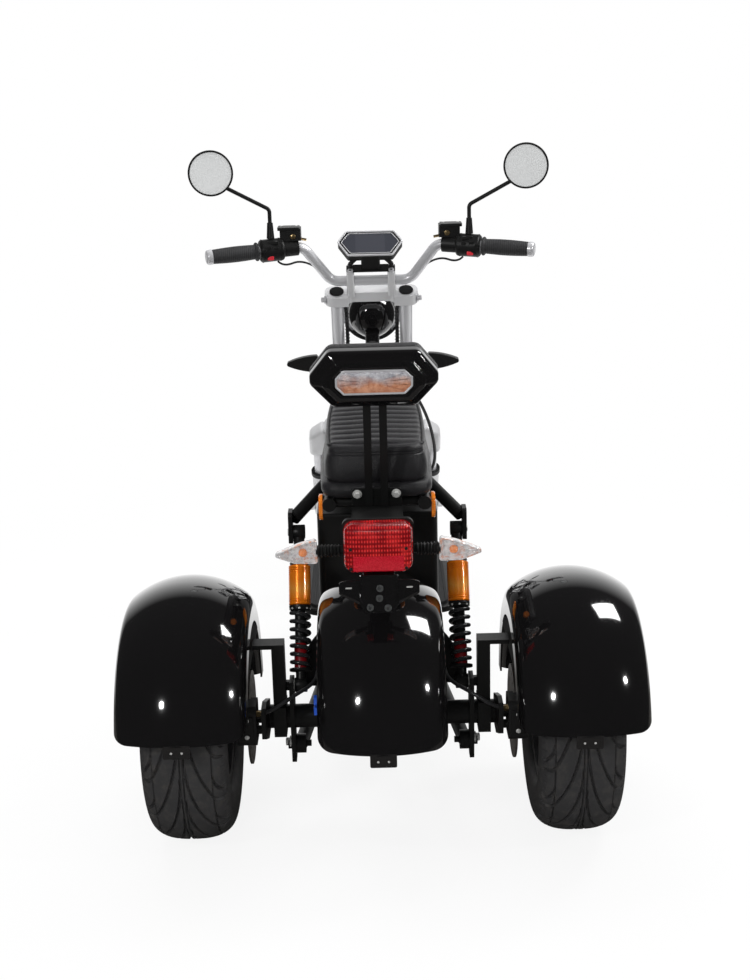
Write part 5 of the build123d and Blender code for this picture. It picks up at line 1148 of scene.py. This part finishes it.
EYE = [(-0.0115, 0.0125), (-0.0105, 0.0135), (0.0105, 0.0135), (0.0115, 0.0125)]
STUB = [(0.008, 0.0095), (0.0235, 0.0095), (0.0245, 0.0200), (0.0255, 0.0210), (0.0295, 0.0210)]
STUB += [(0.0302, 0.0200)]
DAMPER = [(0.029, 0.0100), (0.1405, 0.0100)]
RING = [(0.1365, 0.0), (0.1365, 0.0172), (0.1380, 0.0186), (0.1415, 0.0186), (0.1425, 0.0202)]
RING += [(0.1460, 0.0204), (0.1465, 0.0)]
HEAD = [(0.2218, 0.0176), (0.2262, 0.0182), (0.2300, 0.0160), (0.2350, 0.0115), (0.2750, 0.0100)]
SLEEVE = [(0.0300, 0.0118), (0.0740, 0.0118), (0.0760, 0.0106)]
struts = [drum(EYE, at, ACROSS, 28) for at in (shock_foot, shock_head)]
struts += [drum(p, shock_foot, shock_axis, 32) for p in (STUB, DAMPER)]
struts += [turned(RING, shock_foot, shock_axis, 32), drum(HEAD, shock_foot, shock_axis, 32)]
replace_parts(piece("shock_bodies", both_sides(struts), SATIN), "shock_struts")
spring = coiled(np.array([on_shock(0.0345), on_shock(0.1335)]), 0.0165, 0.0152, 0.0040, 26, 12)
piece("shock_springs", both_sides([spring]), SPRING)
piece("shock_sleeves", both_sides([drum(SLEEVE, shock_foot, shock_axis, 32)]), SLEEVE_RED)


def canister():
    """The gas canister: a drum with rolled ends and shallow turned grooves near them."""
    along = np.linspace(CANISTER_LOW, CANISTER_HIGH, 160)
    ends = np.minimum(along - CANISTER_LOW, CANISTER_HIGH - along)
    radius = CANISTER_R - CANISTER_ROLL * np.clip(1 - ends / CANISTER_ROLL, 0, 1) ** 2
    for at in CANISTER_GROOVES:
        radius = radius - 0.0007 * np.exp(-(((along - at) / 0.0005) ** 2))
    return drum(np.column_stack([along, radius]), shock_foot, shock_axis, 48)


CANISTER_LOW, CANISTER_HIGH, CANISTER_R, CANISTER_ROLL = 0.1466, 0.2218, 0.0205, 0.0022
CANISTER_GROOVES = (0.1525, 0.1560, 0.2080, 0.2115, 0.2150)
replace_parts(piece("shock_drums", both_sides([canister()]), ORANGE), "shock_canisters")
PIN = [(-0.001, 0.0), (-0.001, 0.0019), (0.0012, 0.0019), (0.0018, 0.0)]
pins = []
for angle in np.linspace(0, 2 * pi, 9)[:-1]:
    outwards = 0.0186 * (cos(angle) * shock_side + sin(angle) * shock_other)
    pins.append(turned(PIN, on_shock(0.1400) + outwards, outwards, 10))
piece("shock_pins", both_sides(pins), STEEL)

# ---------------------------------------------------------------- rear axle fittings

outward = [shock_foot + [0.0115, 0, 0], shock_head + [0.0115, 0, 0], np.array([0.171, REAR_Y, 0.166])]
outward = bolts(outward, ACROSS, 0.015, 0.0075, 0.002)
inward = bolts([np.array([0.159, REAR_Y, 0.166])], -ACROSS, 0.015, 0.0075, 0.002)
piece("axle_bolts", both_sides(outward + inward), STEEL)

caliper_low, caliper_high, caliper_mid = box_of("rear_calipers")
CALIPER_X, CALIPER_Y, CALIPER_Z = 0.2245, (caliper_low[1] + caliper_high[1]) / 2, caliper_mid[2]
BANJO = [(-0.002, 0.0055), (0.006, 0.0055), (0.006, 0.0042), (0.013, 0.0042)]
banjos = [drum(BANJO, (CALIPER_X, CALIPER_Y - 0.012, CALIPER_Z + 0.020), -ACROSS, 6)]
piece("caliper_banjos", both_sides(banjos), BRASS)
caliper_lids = [block((0.2415, caliper_low[1] + 0.0002, CALIPER_Z), (0.024, 0.006, 0.046), 0.2)]
piece("caliper_lids", both_sides(caliper_lids), SATIN)
caliper_pins = [np.array([0.2415, caliper_low[1] - 0.0025, CALIPER_Z + z]) for z in (-0.016, 0.016)]
piece("caliper_pins", both_sides(rivets(caliper_pins, -AHEAD, 0.0045, 0.0022)), STEEL)

hose_points = [(CALIPER_X - 0.011, CALIPER_Y - 0.012 - REAR_Y, CALIPER_Z + 0.020), (0.198, -0.094, 0.272)]
hose_points += [(0.160, -0.078, 0.292), (0.121, -0.040, 0.300), (0.116, 0.020, 0.303), (0.112, 0.0599, 0.298)]
hose_points = np.array(hose_points) + [0, REAR_Y, 0]
cable("rear_hose_right", hose_points, 0.0035, "chassis", WRAP)
cable("rear_hose_left", hose_points * OTHER_SIDE, 0.0035, "chassis", WRAP)
PLUGS = ((-0.030, 0.262), (-0.034, 0.244))
plugs = [block((-0.1195, REAR_Y + y, z), (0.010, 0.015, 0.015), 0.18) for y, z in PLUGS]
piece("blue_plugs", plugs, BLUE)

# ---------------------------------------------------------------- fork crown and handlebar

crown_high = box_of("fork_crown")[1]
SOCKET = [(-0.003, 0.0068), (0.0052, 0.0068), (0.0060, 0.0060), (0.0060, 0.0036), (0.0024, 0.0032)]
sockets = [drum(SOCKET, on_fork(0.048, y, 0.7640), fork_up, 24) for y in (-0.0105, 0.0105)]
pinch = bolts([(crown_high[0], *on_fork(0, -0.012, 0.687)[1:])], ACROSS, 0.013, 0.0075, 0.0015)
LEG_IN, LEG_OUT, LEG_LOW = 0.121, 0.1685, 0.194
BRIDGE_UNDER, BRIDGE_HIGH, BRIDGE_DEEP = 0.2685, 0.302, 0.046
leg = [(LEG_IN, LEG_LOW), (LEG_OUT, LEG_LOW), (LEG_OUT, LEG_LOW + 0.062), (LEG_IN, BRIDGE_HIGH - 0.008)]
leg = rounded_outline(leg, [0.012, 0.012, 0.026, 0.012], 9)
beam = np.roll(with_mirror([(0.148, BRIDGE_UNDER), (0.110, BRIDGE_HIGH)]), 1, 0)
beam = rounded_outline(beam, [0.012, 0.014, 0.014, 0.012], 9)
bridge_rim, bridge_at = bevelled(BRIDGE_DEEP, 0.010, 7), on_fork(0, BRIDGE_DEEP / 2, 0)
yokes = both_sides([layered(leg, bridge_rim, bridge_at, ACROSS, fork_up)])
yokes += [layered(beam, bridge_rim, bridge_at, ACROSS, fork_up)]
yoke_at = on_fork(0, -0.014, 0.490)
yokes += [layered(boxed(0.110, 0.038, 0.020), bevelled(0.024, 0.005), yoke_at, ACROSS, fork_ahead)]
STEM = [(0.272, 0.029), (0.300, 0.029), (0.302, 0.027), (0.302, 0.015), (0.520, 0.015)]
yokes += [drum(STEM, on_fork(0, -0.030, 0), fork_up, 36)]
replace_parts(piece("fork_bridge_and_yoke", yokes, CAST, "steering"), "fork_yokes")
piece("crown_bolts", both_sides(sockets + pinch), TUBE, "steering")


def grip():
    """The right grip: a flanged inner end, a barrel that swells by a sine, and a rounded outer rim."""
    length = (BAR_END[0] - GRIP_FROM) / bar_run[0]
    share = np.linspace(0, 1, 40)
    barrel = 0.0168 + 0.0016 * np.sin(pi * share) - 0.0006 * share
    barrel = np.column_stack([0.0085 + share * (length - 0.0105), barrel])
    flange = [(0.0005, 0.0125), (0.0005, 0.0206), (0.0022, 0.0215), (0.0046, 0.0212), (0.0062, 0.0196)]
    flange += [(0.0074, 0.0172)]
    rim = [(length - 0.0008, 0.0156), (length - 0.0002, 0.0140), (length - 0.0002, 0.0125)]
    return turned(np.concatenate([flange, barrel, rim]), along_bar(GRIP_FROM), bar_run, 48)


GRIP_FROM = 0.258
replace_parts(piece("hand_grips", both_sides([grip()]), GRIP, "steering"), "grips")

buttons = [block(along_bar(0.228) + [0, -0.0205, -0.0155], (0.0150, 0.0090, 0.0095), 0.35)]
piece("pod_buttons", both_sides(buttons), BUTTON, "steering")
ROCKERS = ((0.214, 0.006), (0.231, 0.009), (0.243, 0.003))
rockers = [block(along_bar(x) + [0, -0.0242, z], (0.0115, 0.0075, 0.0070), 0.3) for x, z in ROCKERS]
rockers += [block(along_bar(0.222) + [0, -0.0180, 0.0185], (0.026, 0.010, 0.008), 0.3)]
SEAM_RING = [(-0.0008, 0.0266), (0.0008, 0.0266)]
rockers += [drum(SEAM_RING, along_bar(x), bar_run, 40) for x in (0.2485, 0.2085)]
piece("pod_switches", both_sides(rockers), PLASTIC, "steering")

cup = along_bar(0.185) + [0.002, 0.010, 0.031]  # the middle of the right brake's reservoir
lids = [block(cup + [0, 0, 0.0135], (0.0505, 0.0465, 0.0075), 0.14)]
piece("reservoir_lids", both_sides(lids), PLASTIC, "steering")
lid_screws = [cup + np.array([x, 0.012, 0.0170]) for x in (-0.017, 0.017)]
piece("reservoir_screws", both_sides(rivets(lid_screws, UP, 0.0028, 0.0012)), STEEL, "steering")
SIGHT = [(-0.002, 0.0), (-0.002, 0.0062), (0.0022, 0.0062), (0.0030, 0.0050), (0.0024, 0.0)]
sight = turned(SIGHT, cup + [-0.010, -0.0222, -0.0035], -AHEAD, 24)
INLET = [(-0.004, 0.0050), (0.004, 0.0050), (0.0045, 0.0034), (0.016, 0.0034)]
inlet = drum(INLET, cup + [-0.024, 0.006, -0.012], (-1, 0.1, -0.2), 6)
piece("reservoir_fittings", both_sides([sight, inlet]), BRASS, "steering")

# ---------------------------------------------------------------- display

TILT = radians(38.0)
face_out = np.array([0, -cos(TILT), sin(TILT)])
face_up = np.array([0, sin(TILT), cos(TILT)])
face_at = np.array([0, front_hub[1] - 0.362, 0.961])
face_at = face_at + ((box_of("display_screen")[2] - face_at) @ face_out) * face_out
RIM_RIGHT = [(0.051, -0.031), (0.0745, 0.004), (0.0553, 0.031)]
rim_line = rounded_outline(np.roll(with_mirror(RIM_RIGHT), 1, 0), 0.006, 7)
rim_path = face_at + rim_line[:, :1] * ACROSS + rim_line[:, 1:] * face_up
inner_path = face_at + 0.90 * rim_line[:, :1] * ACROSS + 0.84 * rim_line[:, 1:] * face_up
rims = [carried(round_section(0.0024, 10), rim_path + 0.0006 * face_out, True)]
rims += [carried(round_section(0.0011, 8), inner_path + 0.0012 * face_out, True)]
piece("display_rims", rims, TUBE, "steering")

arch = [on_fork(-0.048, 0, 0.770), on_fork(-0.048, -0.004, 0.782)]
arch += [face_at - 0.026 * face_out - 0.024 * face_up - 0.034 * ACROSS]
arch += [face_at - 0.024 * face_out - 0.022 * face_up + x * ACROSS for x in (-0.015, 0.015)]
arch += [point * OTHER_SIDE for point in arch[2::-1]]
arch = carried(round_section(0.0052, 12), evenly(np.array(arch), 60), False)
piece("display_bracket", [arch], PLASTIC, "steering")

# ---------------------------------------------------------------- studio

# The photograph is taken to be PHOTO_W x PHOTO_H pixels, with its middle on the camera's line
PHOTO_W, PHOTO_H = 750, 980
FOCAL_PX = 1500.0
SENSOR = 36.0
CAMERA_AT = (-0.003, REAR_Y - 2.54, 1.42)
CAMERA_PITCH, CAMERA_ROLL = 16.85, -1.45


def camera():
    """A camera behind the trike, looking ahead and down, and rolled a little."""
    lens = bpy.data.cameras.new("camera")
    lens.sensor_width = SENSOR
    lens.lens = FOCAL_PX / max(PHOTO_W, PHOTO_H) * SENSOR
    seen = bpy.data.objects.new("camera", lens)
    look = Matrix.Rotation(radians(90 - CAMERA_PITCH), 4, "X") @ Matrix.Rotation(radians(CAMERA_ROLL), 4, "Z")
    seen.matrix_world = Matrix.Translation(CAMERA_AT) @ look
    scene.collection.objects.link(seen)
    scene.camera = seen


def lamp(name, at, towards, size, watts, shape="RECTANGLE", mirrored_in=True):
    """A soft lamp that faces a place; polished pieces may or may not show it."""
    light = bpy.data.lights.new(name, "AREA")
    light.shape, light.energy = shape, watts
    light.size, light.size_y = size
    made = bpy.data.objects.new(name, light)
    look = (Vector(towards) - Vector(at)).to_track_quat("-Z", "Y").to_matrix().to_4x4()
    made.matrix_world = Matrix.Translation(at) @ look
    made.visible_glossy = mirrored_in
    scene.collection.objects.link(made)


def studio_world():
    """White all round for the camera; polished pieces see a white backdrop ahead and a dim room behind."""
    world = bpy.data.worlds.new("studio")
    scene.world = world
    world.use_nodes = True
    sky = Tree(world.node_tree)
    ray, glossy, through = (sky.ray(kind) for kind in ("Camera", "Glossy", "Transmission"))
    shiny = glossy + through
    way = sky.node("ShaderNodeTexCoord", {}, {}, "Generated")
    ahead = sky.node("ShaderNodeSeparateXYZ", {}, {0: way}, "Y")
    backdrop = ((ahead - 0.70) * 4.0).clamped()
    seen = shiny * (backdrop * 0.92 + 0.035) + (1 - shiny) * 0.42
    strength = ray + (1 - ray) * seen
    background = world.node_tree.nodes["Background"]
    background.inputs["Color"].default_value = (1, 1, 1, 1)
    world.node_tree.links.new(strength.socket, background.inputs["Strength"])


def floor():
    """A pale round floor: white to the camera but for a soft share of the trike's shadow."""
    radius = np.linspace(0.02, 1.9, 24)[:, None]
    angle = np.linspace(0, 2 * pi, 64, endpoint=False)[None, :]
    grid = np.stack([radius * np.cos(angle), radius * np.sin(angle), 0 * radius * angle - 0.0005], -1)
    mesh = bpy.data.meshes.new("floor")
    faces = grid_faces(24, 64, False, True).tolist() + [list(range(64))]
    mesh.from_pydata(grid.reshape(-1, 3), [], faces)
    ground = bpy.data.objects.new("floor", mesh)
    scene.collection.objects.link(ground)
    pale = Finish("floor_paper", roughness=0.9, specular_ior_level=0.1)
    glow = pale.node("ShaderNodeEmission", {}, {"Color": (1, 1, 1, 1), "Strength": 1.0}, "Emission")
    seen, shiny = pale.ray("Camera"), pale.ray("Glossy")
    pale.feed("Base Color", pale.mix(shiny, (0.86, 0.86, 0.86), (0.10, 0.095, 0.09)))
    x, y = pale.axis("X"), pale.axis("Y")
    far = ((x * x + y * y).math("SQRT") - 0.9) / 0.9
    swept = shiny * (y * 2.0).clamped() * 0.9
    both = pale.node("ShaderNodeMixShader", {}, {0: seen * (0.90 + far * 0.10).clamped() + swept}, "Shader")
    pale.tree.links.new(pale.shader.outputs[0], both.socket.node.inputs[1])
    pale.tree.links.new(glow.socket, both.socket.node.inputs[2])
    pale.tree.links.new(both.socket, pale.tree.nodes["Material Output"].inputs["Surface"])
    mesh.materials.append(pale.material)


camera()
studio_world()
floor()
lamp("flash_left", (-1.65, -3.1, 2.0), (0, -0.6, 0.6), (0.26, 0.26), 22.0, "DISK")
lamp("flash_right", (3.3, -2.0, 2.05), (0, -0.6, 0.6), (0.26, 0.26), 22.0, "DISK")
lamp("strip_over", (1.75, 0.35, 2.5), (0.2, -0.5, 0.6), (0.65, 1.1), 34.0)
lamp("top_fill", (-0.4, 0.6, 3.0), (0, 0, 0.5), (2.6, 2.2), 70.0, mirrored_in=False)
lamp("rear_fill", (-0.6, -3.6, 1.9), (0, -0.3, 0.6), (2.2, 1.6), 20.0, mirrored_in=False)

scene.view_settings.view_transform = "Standard"
